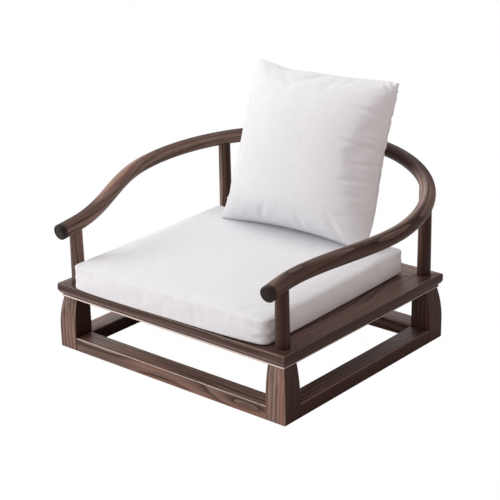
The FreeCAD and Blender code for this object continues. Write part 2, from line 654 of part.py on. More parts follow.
# Posts: turned, tapering towards the arm, tenoned through the seat frame into the leg and up into
# the horseshoe, whose round underside copes their tops
def post(label, x, y, height, arm):
    body = doc.addObject("PartDesign::Body", f"{label}_turning")
    rise = f"({height} - seat_height)"
    foot = f"-({frame_height} + foot_tenon)"
    half = [("0", foot), ("post_tenon / 2", foot), ("post_tenon / 2", "0"), ("post_foot / 2", "0"),
            ("post_neck / 2", rise), ("post_tenon / 2", rise),
            ("post_tenon / 2", f"{rise} + neck_tenon"), ("0", f"{rise} + neck_tenon")]
    turning = body.newObject("PartDesign::Revolution", f"{label}_turned")
    turning.Profile = outline(body, f"{label}_half", "XZ_Plane", half)
    turning.ReferenceAxis = (turning.Profile[0], ["V_Axis"])
    turning.Angle = 360
    place(body, x, y, "seat_height")
    coped = doc.addObject("Part::Cut", f"{label}_coped")
    coped.Base = body
    coped.Tool = arm
    return keep(coped, label)


post("post_front_left", f"-{post_line}", f"-{front_post_reach}", front_arm_height, arm_left)
post("post_front_right", post_line, f"-{front_post_reach}", front_arm_height, arm_right)
post("post_back_left", f"-{post_line}", rear_post_reach, rear_arm_height, bend_left)
post("post_back_right", post_line, rear_post_reach, rear_arm_height, bend_right)

# Back splat: upright off the seat, then swept back in one arc to the middle of the crest
splat = doc.addObject("PartDesign::Body", "splat_body")
near, far = f"({splat_line} - splat_thickness / 2)", f"({splat_line} + splat_thickness / 2)"


def sweep_end(reach):
    return (f"{splat_line} + {sweep} - {reach} * ({sweep} - {sweep_across}) / {sweep}",
            f"splat_upright + {reach} * {sweep_rise} / {sweep}")


front_arc, back_arc = f"({sweep} + splat_thickness / 2)", f"({sweep} - splat_thickness / 2)"
side_view = [(near, "0"), (far, "0"), (far, "splat_upright", back_arc, -1), sweep_end(back_arc),
             (*sweep_end(front_arc), front_arc, 1), (near, "splat_upright")]
pad(splat, outline(splat, "splat_side", "YZ_Plane", side_view), "splat_width", both_ways=True)
pad(splat, outline(splat, "splat_tongue", "YZ_Plane", rectangle(near, "-splat_foot", far, "0")),
    "splat_tongue", both_ways=True)
place(splat, z="seat_height")
back_splat = doc.addObject("Part::Cut", "splat_coped")
back_splat.Base = splat
back_splat.Tool = crest
keep(back_splat, "back_splat")


# Seat cushion: a cover, its filling and a zip along the back, all in the cushion's own frame
CUSHION = Placement(SHIFT + Vector(number("(cushion_left - cushion_right) / 2"),
                                   number("(cushion_front - cushion_back) / 2"),
                                   size["seat_height"] + size["rest_gap"]),
                    Rotation(Z_AXIS, size["cushion_turn"]))


def cushion_form(inset):
    """Boxed cushion with a crown, rounded edges and sides drawn in between the corners."""
    half_depth = number(cushion_depth) / 2 - inset
    corner = size["cushion_round"] - inset
    stations = []
    for step in range(4):
        angle = step * math.pi / 6
        stations.append((half_depth - corner * (1 - math.cos(angle)), corner * (1 - math.sin(angle))))
    stations += [(half_depth * share, 0) for share in CROWN_SHARES]
    lengths = stations + [(0, 0)] + [(-y, give) for y, give in reversed(stations)]
    return Part.makeLoft([cushion_section(y, give, half_depth, inset) for y, give in lengths], True, True)


def cushion_section(y, give, half_depth, inset):
    hollow = 1 - (y / half_depth) ** 2
    half = number(cushion_width) / 2 - inset - give - size["cushion_draw"] * hollow
    edge = size["cushion_edge"] - inset / 2
    low = inset + give * size["cushion_edge"] / size["cushion_round"]
    high = size["cushion_height"] - low
    crown = size["cushion_crown"] * hollow
    nick = edge * (1 - math.sqrt(0.5))

    def corner(a, b, c):
        return Part.Arc(Vector(a[0], y, a[1]), Vector(b[0], y, b[1]), Vector(c[0], y, c[1])).toShape()

    def side(a, b):
        return Part.LineSegment(Vector(a[0], y, a[1]), Vector(b[0], y, b[1])).toShape()

    edges = [side((edge - half, low), (half - edge, low)),
             corner((half - edge, low), (half - nick, low + nick), (half, low + edge)),
             side((half, low + edge), (half, high - edge)),
             corner((half, high - edge), (half - nick, high - nick), (half - edge, high)),
             corner((half - edge, high), (0, high + crown + ALMOST), (edge - half, high)),
             corner((edge - half, high), (nick - half, high - nick), (-half, high - edge)),
             side((-half, high - edge), (-half, low + edge)),
             corner((-half, low + edge), (nick - half, low + nick), (edge - half, low))]
    return Part.Wire(edges)


def soft_piece(label, shape, frame):
    piece = doc.addObject("Part::Feature", f"{label}_shape")
    piece.Shape = shape
    piece.Placement = frame
    return keep(piece, label)


soft_piece("seat_cover", cushion_form(0).cut(cushion_form(size["cloth"])), CUSHION)
soft_piece("seat_filling", cushion_form(size["cloth"] + size["fill_gap"]), CUSHION)


# Zips, each in a frame with x along the coil, y across it and z out of the cloth
def block(name, x, y, z, long, wide, tall):
    box = doc.addObject("Part::Box", name)
    for side, text in (("Length", long), ("Width", wide), ("Height", tall)):
        box.setExpression(side, bound(text))
    for axis, text in (("x", x), ("y", y), ("z", z)):
        box.setExpression(f"Placement.Base.{axis}", bound(text))
    return box


def bar(name, x, z, diameter, width):
    """Round bar across the zip, centred on it."""
    cylinder = doc.addObject("Part::Cylinder", name)
    cylinder.setExpression("Radius", bound(f"{diameter} / 2"))
    cylinder.setExpression("Height", bound(width))
    cylinder.Placement = Placement(Vector(), Rotation(X_AXIS, -90))
    cylinder.setExpression("Placement.Base.x", bound(x))
    cylinder.setExpression("Placement.Base.y", bound(f"-{width} / 2"))
    cylinder.setExpression("Placement.Base.z", bound(z))
    return cylinder


def joined(name, shapes):
    fuse = doc.addObject("Part::MultiFuse", name)
    fuse.Shapes = shapes
    fuse.Refine = True
    return fuse


def less(name, base, tool):
    cut = doc.addObject("Part::Cut", name)
    cut.Base = base
    cut.Tool = tool
    return cut


def zip_set(name, coil_length, tape_width, frame):
    """Tape with its coil and stops, slider at the coil's start, and pull lying back from it."""
    tape_top = "tape_thickness"
    coil_top = f"({tape_top} + coil_height)"
    tape = joined(f"{name}_tape_whole", [
        block(f"{name}_cloth", "-tape_end", f"-{tape_width} / 2", "0",
              f"{coil_length} + 2 * tape_end", tape_width, "tape_thickness"),
        block(f"{name}_coil", "0", "-coil_width / 2", tape_top, coil_length, "coil_width", "coil_height"),
        block(f"{name}_lower_stop", "0", "-stop_width / 2", tape_top, "stop_length", "stop_width",
              "coil_height"),
        block(f"{name}_upper_stop", f"{coil_length} - stop_length", "-stop_width / 2", tape_top,
              "stop_length", "stop_width", "coil_height")])
    start = "(stop_length + slider_gap)"
    slider_top = f"({coil_top} + slider_gap + slider_wall)"
    eye = "(pivot_diameter + 2 * pivot_gap + 2 * eye_wall)"
    pivot_x, pivot_z = f"({start} + slider_length / 2)", f"({slider_top} + slider_gap + {eye} / 2)"
    lug_gap = "(pull_width / 2 + pivot_gap)"
    lugs = [block(f"{name}_lug_{word}", f"{pivot_x} - lug_length / 2", y, slider_top,
                  "lug_length", "lug_wall", f"{pivot_z} - {slider_top} + pivot_diameter")
            for word, y in (("a", lug_gap), ("b", f"-{lug_gap} - lug_wall"))]
    shell = less(f"{name}_slider_shell",
                 block(f"{name}_slider_block", start, "-slider_width / 2", f"{tape_top} + slider_gap",
                       "slider_length", "slider_width", f"{slider_top} - {tape_top} - slider_gap"),
                 block(f"{name}_channel", f"{start} - 1", "-coil_width / 2 - slider_gap", "0",
                       "slider_length + 2", "coil_width + 2 * slider_gap", f"{coil_top} + slider_gap"))
    slider = joined(f"{name}_slider_whole", [
        shell, *lugs, bar(f"{name}_pivot", pivot_x, pivot_z, "pivot_diameter", f"2 * {lug_gap} + lug_wall")])
    pull = less(f"{name}_pull_whole",
                joined(f"{name}_pull_blank", [
                    bar(f"{name}_eye", pivot_x, pivot_z, eye, "pull_width"),
                    block(f"{name}_tab", f"{pivot_x} - pull_length", "-pull_width / 2",
                          f"{pivot_z} - pull_thickness / 2", "pull_length", "pull_width", "pull_thickness")]),
                bar(f"{name}_eye_hole", pivot_x, pivot_z, "(pivot_diameter + 2 * pivot_gap)", "(2 * pull_width)"))
    for piece, label in ((tape, "tape"), (slider, "slider"), (pull, "pull")):
        piece.Placement = frame
        keep(piece, f"{name}_{label}")


seat_zip_start = Vector(-size["seat_zip_length"] / 2, number(cushion_depth) / 2, size["cushion_height"] / 2)
zip_set("seat_zip", "seat_zip_length", "seat_tape_width",
        CUSHION * Placement(seat_zip_start, Rotation(X_AXIS, Vector(), Y_AXIS, "XZY")))

# Back pillow: leans back on the splat, in its own frame with x along its lower seam and z up its face
pillow_foot = number("seat_height + rest_gap + cushion_height + pillow_lift")


def pillow_rest():
    """How far back the pillow slides until its middle meets the splat or the crest."""
    lean = math.radians(size["pillow_lean"])
    seam, middle = size["pillow_seam"] / 2, size["pillow_height"] / 2
    chord, bulge = middle - size["pillow_draw"], size["pillow_thickness"] / 2 - seam
    round_back = (chord ** 2 + bulge ** 2) / (2 * bulge)
    front = sweep_radius + size["splat_thickness"] / 2
    crest_radius = size["crest_diameter"] / 2
    places = []
    for step in range(1 - REST_STEPS, REST_STEPS):
        up = chord * step / REST_STEPS
        half = seam + bulge - round_back + math.sqrt(round_back ** 2 - up ** 2)
        y = (middle + up) * math.sin(lean) + half * math.cos(lean)
        z = pillow_foot + (middle + up) * math.cos(lean) - half * math.sin(lean)
        off_crest = abs(z - size["crest_height"])
        if z < sweep_foot:
            places.append(splat_middle - size["splat_thickness"] / 2 - y)
        elif z < size["crest_height"] and z - sweep_foot < front:
            places.append(splat_middle + sweep_radius - math.sqrt(front ** 2 - (z - sweep_foot) ** 2) - y)
        if off_crest < crest_radius:
            places.append(widest + size["bow_depth"] - math.sqrt(crest_radius ** 2 - off_crest ** 2) - y)
    return min(places) - size["pillow_gap"]


PILLOW = Placement(SHIFT + Vector(size["pillow_offset"], pillow_rest(), pillow_foot),
                   Rotation(Z_AXIS, size["pillow_turn"]) * Rotation(X_AXIS, -size["pillow_lean"]))


def pillow_form(inset):
    """Knife-edged pillow, full in the middle, its seams drawn in between pointed corners. The left
    seam carries the zip, which keeps it straight."""
    half_width = size["pillow_width"] / 2 - inset
    seam = size["pillow_seam"] / 2 - inset
    fullness = size["pillow_thickness"] / 2 - size["pillow_seam"] / 2
    sections = []
    for step in range(PILLOW_SPANS + 1):
        x = -half_width * math.cos(step * math.pi / PILLOW_SPANS)
        share = x / half_width
        swell = seam + fullness * (1 - PILLOW_REACH * share ** 2) ** PILLOW_TAPER
        low = inset + size["pillow_draw"] * (1 - share ** 2)
        high = size["pillow_height"] - low
        waist = x - size["pillow_draw"] * max(share, 0) ** 2
        sides = [Part.Arc(Vector(x, side * seam, low), Vector(waist, side * swell, (low + high) / 2),
                          Vector(x, side * seam, high)).toShape() for side in (-1, 1)]
        foot = Part.LineSegment(Vector(x, seam, low), Vector(x, -seam, low)).toShape()
        head = Part.LineSegment(Vector(x, -seam, high), Vector(x, seam, high)).toShape()
        sections.append((Part.Wire([foot, sides[0], head, sides[1]]), sides))
    skin = Part.makeLoft([wire for wire, _ in sections], False, True)
    ends = [Part.Face(sections[0][0]), Part.makeRuledSurface(*sections[-1][1])]
    shell = Part.Shell(Part.makeCompound(skin.Faces + ends).Faces)
    solid = Part.Solid(shell)
    if solid.Volume < 0:
        solid.reverse()
    return solid


soft_piece("pillow_cover", pillow_form(0).cut(pillow_form(size["cloth"])), PILLOW)
soft_piece("pillow_filling", pillow_form(size["cloth"] + size["fill_gap"]), PILLOW)
pillow_zip_start = Vector(-size["pillow_width"] / 2, 0, (size["pillow_height"] - size["pillow_zip_length"]) / 2)
zip_set("pillow_zip", "pillow_zip_length", "pillow_tape_width",
        PILLOW * Placement(pillow_zip_start, Rotation(Z_AXIS, Vector(), -X_AXIS, "XZY")))

doc.recompute()
for item in doc.Objects:
    if "Invalid" in item.State or "Error" in item.State:
        raise RuntimeError(f"{item.Name} failed: {item.State}")
for piece in pieces:
    if piece.Shape.isNull() or not piece.Shape.isValid() or not piece.Shape.Solids:
        raise RuntimeError(f"{piece.Label} has no sound shape")

os.makedirs("parts", exist_ok=True)
for piece in pieces:
    piece.Shape.exportStep(f"parts/{piece.Label}.step")
    box = piece.Shape.BoundBox
    print(f"{piece.Label}: {len(piece.Shape.Solids)} solid(s), {piece.Shape.Volume / 1000:.1f} cm3, "
          f"{len(piece.Shape.Faces)} faces, z {box.ZMin:.1f} to {box.ZMax:.1f}")
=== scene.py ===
import math

import bmesh
import bpy
import numpy as np
from mathutils import Matrix, Vector
from mathutils.bvhtree import BVHTree


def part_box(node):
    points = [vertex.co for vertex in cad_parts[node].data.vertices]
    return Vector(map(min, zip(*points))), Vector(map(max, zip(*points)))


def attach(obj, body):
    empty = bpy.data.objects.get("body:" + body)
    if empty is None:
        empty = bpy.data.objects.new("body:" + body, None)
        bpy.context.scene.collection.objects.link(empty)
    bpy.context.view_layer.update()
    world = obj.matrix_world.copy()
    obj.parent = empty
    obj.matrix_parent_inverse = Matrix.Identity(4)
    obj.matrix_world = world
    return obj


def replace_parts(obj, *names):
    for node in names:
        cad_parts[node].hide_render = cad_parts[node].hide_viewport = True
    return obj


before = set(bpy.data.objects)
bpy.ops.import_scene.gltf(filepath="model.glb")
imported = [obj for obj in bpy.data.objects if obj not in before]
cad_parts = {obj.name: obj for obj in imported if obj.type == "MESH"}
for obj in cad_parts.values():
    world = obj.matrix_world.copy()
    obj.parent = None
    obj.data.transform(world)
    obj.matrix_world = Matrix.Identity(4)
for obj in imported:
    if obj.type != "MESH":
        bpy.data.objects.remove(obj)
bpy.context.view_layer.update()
print("frame loaded")

# The seat's middle, front to back
midShift = (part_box("seat_rail_front")[0].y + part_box("seat_rail_back")[1].y) / 2
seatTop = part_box("seat_panel")[1].z


# Small shared tools

def inScene(name, data):
    thing = bpy.data.objects.new(name, data)
    bpy.context.scene.collection.objects.link(thing)
    return thing


def dress(mesh, material):
    mesh.materials.clear()
    mesh.materials.append(material)


def link(name, mesh, material, body):
    piece = inScene(name, mesh)
    dress(mesh, material)
    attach(piece, body)
    return piece


def meshFrom(bm, name):
    mesh = bpy.data.meshes.new(name)
    bm.to_mesh(mesh)
    bm.free()
    return mesh


def smooth(mesh, sharpAngle):
    mesh.shade_smooth()
    mesh.set_sharp_from_angle(angle=math.radians(sharpAngle))


def weighted(piece):
    finish = piece.modifiers.new("evenNormals", "WEIGHTED_NORMAL")
    finish.keep_sharp = True


class Nodes:
    # Short hand for one node tree

    def __init__(self, tree):
        self.tree = tree

    def add(self, kind, inputs=None, **settings):
        node = self.tree.nodes.new(kind)
        for name, value in settings.items():
            setattr(node, name, value)
        for name, value in (inputs or {}).items():
            socket = node.inputs[name]
            if isinstance(value, bpy.types.NodeSocket):
                self.tree.links.new(value, socket)
            else:
                socket.default_value = value
        return node

    def math(self, operation, first, second=0.0, third=0.0, clamp=False):
        return self.add("ShaderNodeMath", {0: first, 1: second, 2: third}, operation=operation,
                        use_clamp=clamp).outputs[0]

    def scaled(self, value, gain, offset, clamp=False):
        return self.math("MULTIPLY_ADD", value, gain, offset, clamp)

    def mix(self, amount, first, second, blend="MIX"):
        return self.add("ShaderNodeMix", {0: amount, 6: first, 7: second}, data_type="RGBA",
                        blend_type=blend).outputs[2]

    def ramp(self, value, stops):
        node = self.add("ShaderNodeValToRGB", {0: value})
        while len(node.color_ramp.elements) < len(stops):
            node.color_ramp.elements.new(0.5)
        for element, (position, colour) in zip(node.color_ramp.elements, stops):
            element.position = position
            element.color = (*colour, 1)
        return node.outputs[0]

    def attribute(self, name, output="Fac"):
        return self.add("ShaderNodeAttribute", attribute_name=name).outputs[output]

    def noise(self, vector, scale, detail, roughness):
        return self.add("ShaderNodeTexNoise", {"Vector": vector, "Scale": scale, "Detail": detail,
                                               "Roughness": roughness}).outputs[0]

    def stretch(self, vector, scale, offset=(0, 0, 0)):
        return self.add("ShaderNodeMapping", {"Vector": vector, "Scale": scale,
                                              "Location": offset}).outputs[0]

    def stretchedNoise(self, vector, scale, detail, roughness, offset=(0, 0, 0)):
        return self.noise(self.stretch(vector, scale, offset), 1.0, detail, roughness)


def newGroup(name, inputs):
    tree = bpy.data.node_groups.new(name, "ShaderNodeTree")
    for label, kind in inputs:
        tree.interface.new_socket(label, in_out="INPUT", socket_type="NodeSocket" + kind)
    for label, kind in (("Color", "Color"), ("Roughness", "Float"), ("Height", "Float")):
        tree.interface.new_socket(label, in_out="OUTPUT", socket_type="NodeSocket" + kind)
    nodes = Nodes(tree)
    return nodes, nodes.add("NodeGroupInput").outputs


def finishGroup(nodes, colour, roughness, height):
    nodes.add("NodeGroupOutput", {"Color": colour, "Roughness": roughness, "Height": height})


def newMaterial(name):
    material = bpy.data.materials.new(name)
    material.use_nodes = True
    material.node_tree.nodes.clear()
    return material, Nodes(material.node_tree)


def finishMaterial(nodes, shader):
    nodes.add("ShaderNodeOutputMaterial", {0: shader.outputs[0]})


def finishSurface(nodes, look, bump, more=None):
    # Makes the shader from a colour, a roughness and a height; bump is its strength and its distance
    strength, distance = bump
    normal = nodes.add("ShaderNodeBump", {"Height": look["Height"], "Strength": strength,
                                          "Distance": distance})
    finishMaterial(nodes, nodes.add("ShaderNodeBsdfPrincipled", {
        "Base Color": look["Color"], "Roughness": look["Roughness"], "Normal": normal.outputs[0],
        **(more or {})}))


# Walnut. The grain coordinate runs x along the piece, y and z across it, in metres

walnut = dict(
    ringsPerMetre=95.0,
    pithSide=0.085,
    pithUp=0.045,
    waver=0.016,
    # Each noise: scale along and across the grain, detail, roughness and where it starts
    sway=((2.6, 9, 9), 3.0, 0.5),
    drift=((1.3, 5, 5), 2.0, 0.5, (4.1, 2.2, 7.3)),
    bands=((1.2, 26, 26), 4.0, 0.6),
    streaks=((7, 240, 240), 3.0, 0.6),
    pores=((55, 1500, 1500), 2.0, 0.5),
    redPatches=((3, 38, 38), 2.0, 0.5, (9.0, 1.0, 3.0)),
    rubs=((60, 60, 60), 2.0, 0.6),
    knots=((2.3, 11.0, 11.0), (0.4, 0.1, 0.7)),
    # Below, a pair scales a value and then shifts it
    knotShrink=2.2,
    knotSwirl=2.2,
    knotHeart=(3.0, -1.9),
    knotShare=0.7,
    ringBite=2.6,
    ringTone=-0.42,
    bandSpread=(1.5, -0.25),
    bandTone=(0.55, 0.30),
    streakTone=(0.7, -0.35),
    toneStops=((0.0, "deep"), (0.28, "dark"), (0.60, "mid"), (1.0, "light")),
    deep=(0.012, 0.007, 0.006),
    dark=(0.098, 0.060, 0.046),
    mid=(0.270, 0.180, 0.148),
    light=(0.500, 0.380, 0.322),
    red=(0.360, 0.180, 0.126),
    redStops=((0.48, (0, 0, 0)), (0.68, (0.75, 0.75, 0.75))),
    redShare=0.7,
    poreFrom=0.56,
    poreGain=4.0,
    poreShare=0.55,
    # Painted highlight on the eased arrises, with some rubbed wear
    worn=(0.78, 0.62, 0.55),
    wornSheenPatches=(0.9, 0.3),
    # Painted highlight on the bead under the seat's edge
    bead=(0.74, 0.62, 0.57),
    # Painted shade: the colour that shaded faces are multiplied towards
    shade=(0.155, 0.092, 0.070),
    paintedShadeCalm=0.45,
    roughness=0.44,
    streakRough=0.16,
    poreRough=0.15,
    poreHigh=-0.7,
    streakHigh=0.5,
    ringHigh=0.12,
    bump=(0.35, 0.0004),
    hiddenBump=(0.3, 0.0004),
    gloss=0.21,
)


def grainGroup():
    nodes, given = newGroup("walnutGrain", [("Grain", "Vector"), ("Dark", "Float"), ("Worn", "Float"),
                                            ("Bead", "Float"), ("Shade", "Float")])
    w = walnut
    grain = given["Grain"]
    sway, drift, bands, streak, pores, redPatches, rub = (
        nodes.stretchedNoise(grain, *w[key])
        for key in ("sway", "drift", "bands", "streaks", "pores", "redPatches", "rubs"))
    parts = nodes.add("ShaderNodeSeparateXYZ", {0: grain}).outputs
    side = nodes.math("ADD", parts[1], nodes.scaled(sway, w["waver"] * 2, w["pithSide"] - w["waver"]))
    up = nodes.math("ADD", parts[2], nodes.scaled(drift, w["waver"] * 3, w["pithUp"] - w["waver"] * 1.5))
    reach = nodes.math("SQRT", nodes.math("ADD", nodes.math("MULTIPLY", side, side),
                                          nodes.math("MULTIPLY", up, up)))
    knots = nodes.add("ShaderNodeTexVoronoi", {"Vector": nodes.stretch(grain, *w["knots"]),
                                               "Scale": 1.0}).outputs["Distance"]
    nearKnot = nodes.math("SUBTRACT", 1.0, nodes.math("MULTIPLY", knots, w["knotShrink"]), clamp=True)
    swirl = nodes.math("POWER", nearKnot, 2.0)
    ring = nodes.math("FRACT", nodes.scaled(swirl, w["knotSwirl"],
                                            nodes.math("MULTIPLY", reach, w["ringsPerMetre"])))
    lateWood = nodes.math("POWER", ring, w["ringBite"])  # each ring darkens slowly and ends at once
    band = nodes.scaled(bands, *w["bandSpread"])
    poreMask = nodes.math("MULTIPLY", nodes.math("SUBTRACT", pores, w["poreFrom"], clamp=True), w["poreGain"],
                          clamp=True)
    tone = nodes.scaled(lateWood, w["ringTone"], nodes.scaled(band, *w["bandTone"]))
    tone = nodes.math("ADD", tone, nodes.scaled(streak, *w["streakTone"]), clamp=True)
    redness = nodes.math("MULTIPLY", nodes.ramp(redPatches, w["redStops"]), w["redShare"])
    heart = nodes.scaled(swirl, *w["knotHeart"], clamp=True)
    # Painted arris highlight and rubbed wear, in patches
    wornSheenShare = nodes.math("MULTIPLY", given["Worn"], nodes.scaled(rub, *w["wornSheenPatches"], clamp=True))
    colour = nodes.ramp(tone, [(position, w[key]) for position, key in w["toneStops"]])
    colour = nodes.mix(redness, colour, (*w["red"], 1))
    colour = nodes.mix(nodes.math("MULTIPLY", poreMask, w["poreShare"]), colour, (*w["deep"], 1))
    colour = nodes.mix(nodes.math("MULTIPLY", heart, w["knotShare"]), colour, (*w["deep"], 1))
    calmed = nodes.mix(w["paintedShadeCalm"], colour, (*w["mid"], 1))  # the grain shows less in the painted shade
    # Painted shade: the shade mask mixes in a darker copy of the colour
    paintedShadeColour = nodes.mix(1.0, calmed, (*w["shade"], 1), "MULTIPLY")
    colour = nodes.mix(given["Shade"], colour, paintedShadeColour)
    colour = nodes.mix(wornSheenShare, colour, (*w["worn"], 1))
    # Painted highlight on the bead
    colour = nodes.mix(given["Bead"], colour, (*w["bead"], 1))
    colour = nodes.mix(given["Dark"], colour, (*w["deep"], 1))
    rough = nodes.scaled(streak, w["streakRough"], w["roughness"] - w["streakRough"] / 2)
    rough = nodes.scaled(poreMask, w["poreRough"], rough)
    height = nodes.scaled(poreMask, w["poreHigh"], nodes.math("MULTIPLY", streak, w["streakHigh"]))
    finishGroup(nodes, colour, rough, nodes.scaled(lateWood, w["ringHigh"], height))


def walnutMaterial(name, masks):
    material, nodes = newMaterial(name)
    inputs = {"Grain": nodes.attribute("grain", "Vector")}
    for mask in masks:
        inputs[mask] = nodes.attribute(mask.lower())
    effect = nodes.add("ShaderNodeGroup", inputs, node_tree=bpy.data.node_groups["walnutGrain"])
    finishSurface(nodes, effect.outputs, walnut["bump"], {"Specular IOR Level": walnut["gloss"]})
    return material


grainGroup()
walnutPlain = walnutMaterial("walnutPlain", ("Worn", "Bead", "Shade"))
walnutTips = walnutMaterial("walnutTips", ("Shade", "Dark"))
print("walnut ready")


# Joinery: every wooden piece is its CAD solid with the arrises eased and the grain along it

joinery = dict(
    ease=0.0011,
    easeOver=35,
    joinWithin=2e-6,
    flatWithin=0.6,
    smoothUnder=40,
    boardSteps=(1.37, 0.013, 0.011),
    beadBand=(0.0009, 0.0047),
    beadTop=0.009,
    beadReach=0.0095,
    # The bead's painted highlight is weaker on right-hand faces, which are in shade
    beadHighlightAside=0.35,
    asideFrom=0.3,
    wornSheenFrom=0.06,
    wornSheenOver=0.1,
    # How strong the painted arris highlight and rubbed wear is on each piece, weaker on the shaded right-hand
    # ones
    worn=[("floor_rail_right", 0.25), ("floor_rail", 1.0), ("seat_rail_right", 0.1), ("seat_rail", 0.3),
          ("leg", 0.4)],
    # Painted shade on each piece: how much darker its right-hand faces are, and how much darker every face
    # is, the last partly the piece's own darker tone
    tones={"post_front_right": (0.1, 0.9), "post_back_right": (0.6, 0.62), "post_front_left": (-0.2, 0.58),
           "seat_rail_right": (0.45, 0.62), "seat_rail_front": (0, 0.7), "floor_rail_right": (0.4, 0.6),
           "leg_back_right": (0.3, 0.7)},
    straight=[("seat_rail_front", "x"), ("seat_rail_back", "x"), ("seat_rail_right", "y"),
              ("seat_rail_left", "y"), ("seat_panel", "x"), ("seat_batten_left", "y"),
              ("seat_batten_right", "y"), ("leg_front_left", "z"), ("leg_front_right", "z"),
              ("leg_back_right", "z"), ("leg_back_left", "z"), ("floor_rail_front", "x"),
              ("floor_rail_back", "x"), ("floor_rail_right", "y"), ("floor_rail_left", "y"),
              ("post_front_left", "z"), ("post_front_right", "z"), ("post_back_left", "z"),
              ("post_back_right", "z"), ("back_splat", "z")],
)


def writeVectors(mesh, name, values):
    layer = mesh.attributes.new(name, "FLOAT_VECTOR", "POINT")
    layer.data.foreach_set("vector", np.asarray(values, dtype=np.float32).ravel())


def writeFloats(mesh, name, values, domain):
    layer = mesh.attributes.new(name, "FLOAT", domain)
    layer.data.foreach_set("value", np.asarray(values, dtype=np.float32))


def vectorsOf(items, key):
    values = np.empty(len(items) * 3, dtype=np.float32)
    items.foreach_get(key, values)
    return values.reshape(-1, 3)


def pointsOf(mesh):
    return vectorsOf(mesh.vertices, "co").astype(float)


def easedCopy(node):
    bm = bmesh.new()
    bm.from_mesh(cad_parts[node].data)
    bmesh.ops.remove_doubles(bm, verts=bm.verts, dist=joinery["joinWithin"])
    bmesh.ops.dissolve_limit(bm, angle_limit=math.radians(joinery["flatWithin"]), verts=bm.verts,
                             edges=bm.edges)
    arrises = [edge for edge in bm.edges
               if edge.is_manifold and edge.calc_face_angle(0) > math.radians(joinery["easeOver"])]
    bmesh.ops.bevel(bm, geom=arrises, offset=joinery["ease"], offset_type="OFFSET", segments=2, profile=0.5,
                    affect="EDGES", clamp_overlap=True, material=-1)
    return meshFrom(bm, node + "Mesh")


def grainAlong(points, axis, seed):
    # Grain coordinates for a straight piece whose length runs along an axis, each from another board
    local = points - (points.max(0) + points.min(0)) / 2
    order = {"x": (0, 1, 2), "y": (1, 0, 2), "z": (2, 0, 1)}[axis]
    board = np.array([seed, (seed * 7) % 5, (seed * 3) % 4])
    return local[:, order] + board * joinery["boardSteps"]


# Marks a painted highlight with some rubbed wear on the arrises, a painted highlight on the bead under the
# seat's edge, and painted shade on right-hand faces and on some whole pieces
def faceMasks(mesh, node):
    # Marks the arrises rubbed light, the bead under the seat's edge and the darker stain
    normals, centres = vectorsOf(mesh.polygons, "normal"), vectorsOf(mesh.polygons, "center")
    share = next((amount for start, amount in joinery["worn"] if node.startswith(start)), 0)
    # Painted highlight and rubbed wear on slanted faces, that is the eased arrises
    slant = 1 - abs(normals).max(1)
    worn = share * np.clip((slant - joinery["wornSheenFrom"]) / joinery["wornSheenOver"], 0, 1)
    bead = np.zeros(len(normals))
    if node.startswith("seat_rail"):
        low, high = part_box("seat_rail_front")[0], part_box("seat_rail_back")[1]
        inward = np.minimum.reduce([centres[:, 0] - low.x, high.x - centres[:, 0], centres[:, 1] - low.y,
                                    high.y - centres[:, 1]])
        rise = centres[:, 2] - low.z
        least, most = joinery["beadBand"]
        # Painted highlight on the bead, weaker on right-hand faces
        bead = (rise > least) & (rise < most) & (inward < joinery["beadReach"])
        bead = bead * np.where(normals[:, 0] > joinery["asideFrom"], joinery["beadHighlightAside"], 1.0)
        worn = np.where(rise < joinery["beadTop"], 0, worn)
    # Painted shade: right-hand faces darker, and every face of some pieces, partly their own darker tone
    side, least = joinery["tones"].get(node, (1, 0))
    writeFloats(mesh, "worn", worn, "FACE")
    writeFloats(mesh, "bead", bead, "FACE")
    writeFloats(mesh, "shade", np.clip(side * normals[:, 0] + least, 0, 1), "FACE")


def straightPieces():
    for seed, (node, axis) in enumerate(joinery["straight"], start=1):
        mesh = easedCopy(node)
        writeVectors(mesh, "grain", grainAlong(pointsOf(mesh), axis, seed))
        faceMasks(mesh, node)
        smooth(mesh, joinery["smoothUnder"])
        first, *others = node.split("_")
        piece = link(first + "".join(word.title() for word in others), mesh, walnutPlain, "frame")
        weighted(piece)
        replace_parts(piece, node)


straightPieces()
print("straight pieces ready")


# Horseshoe: the line that the arm and back rail follow, as the joiner sets it out

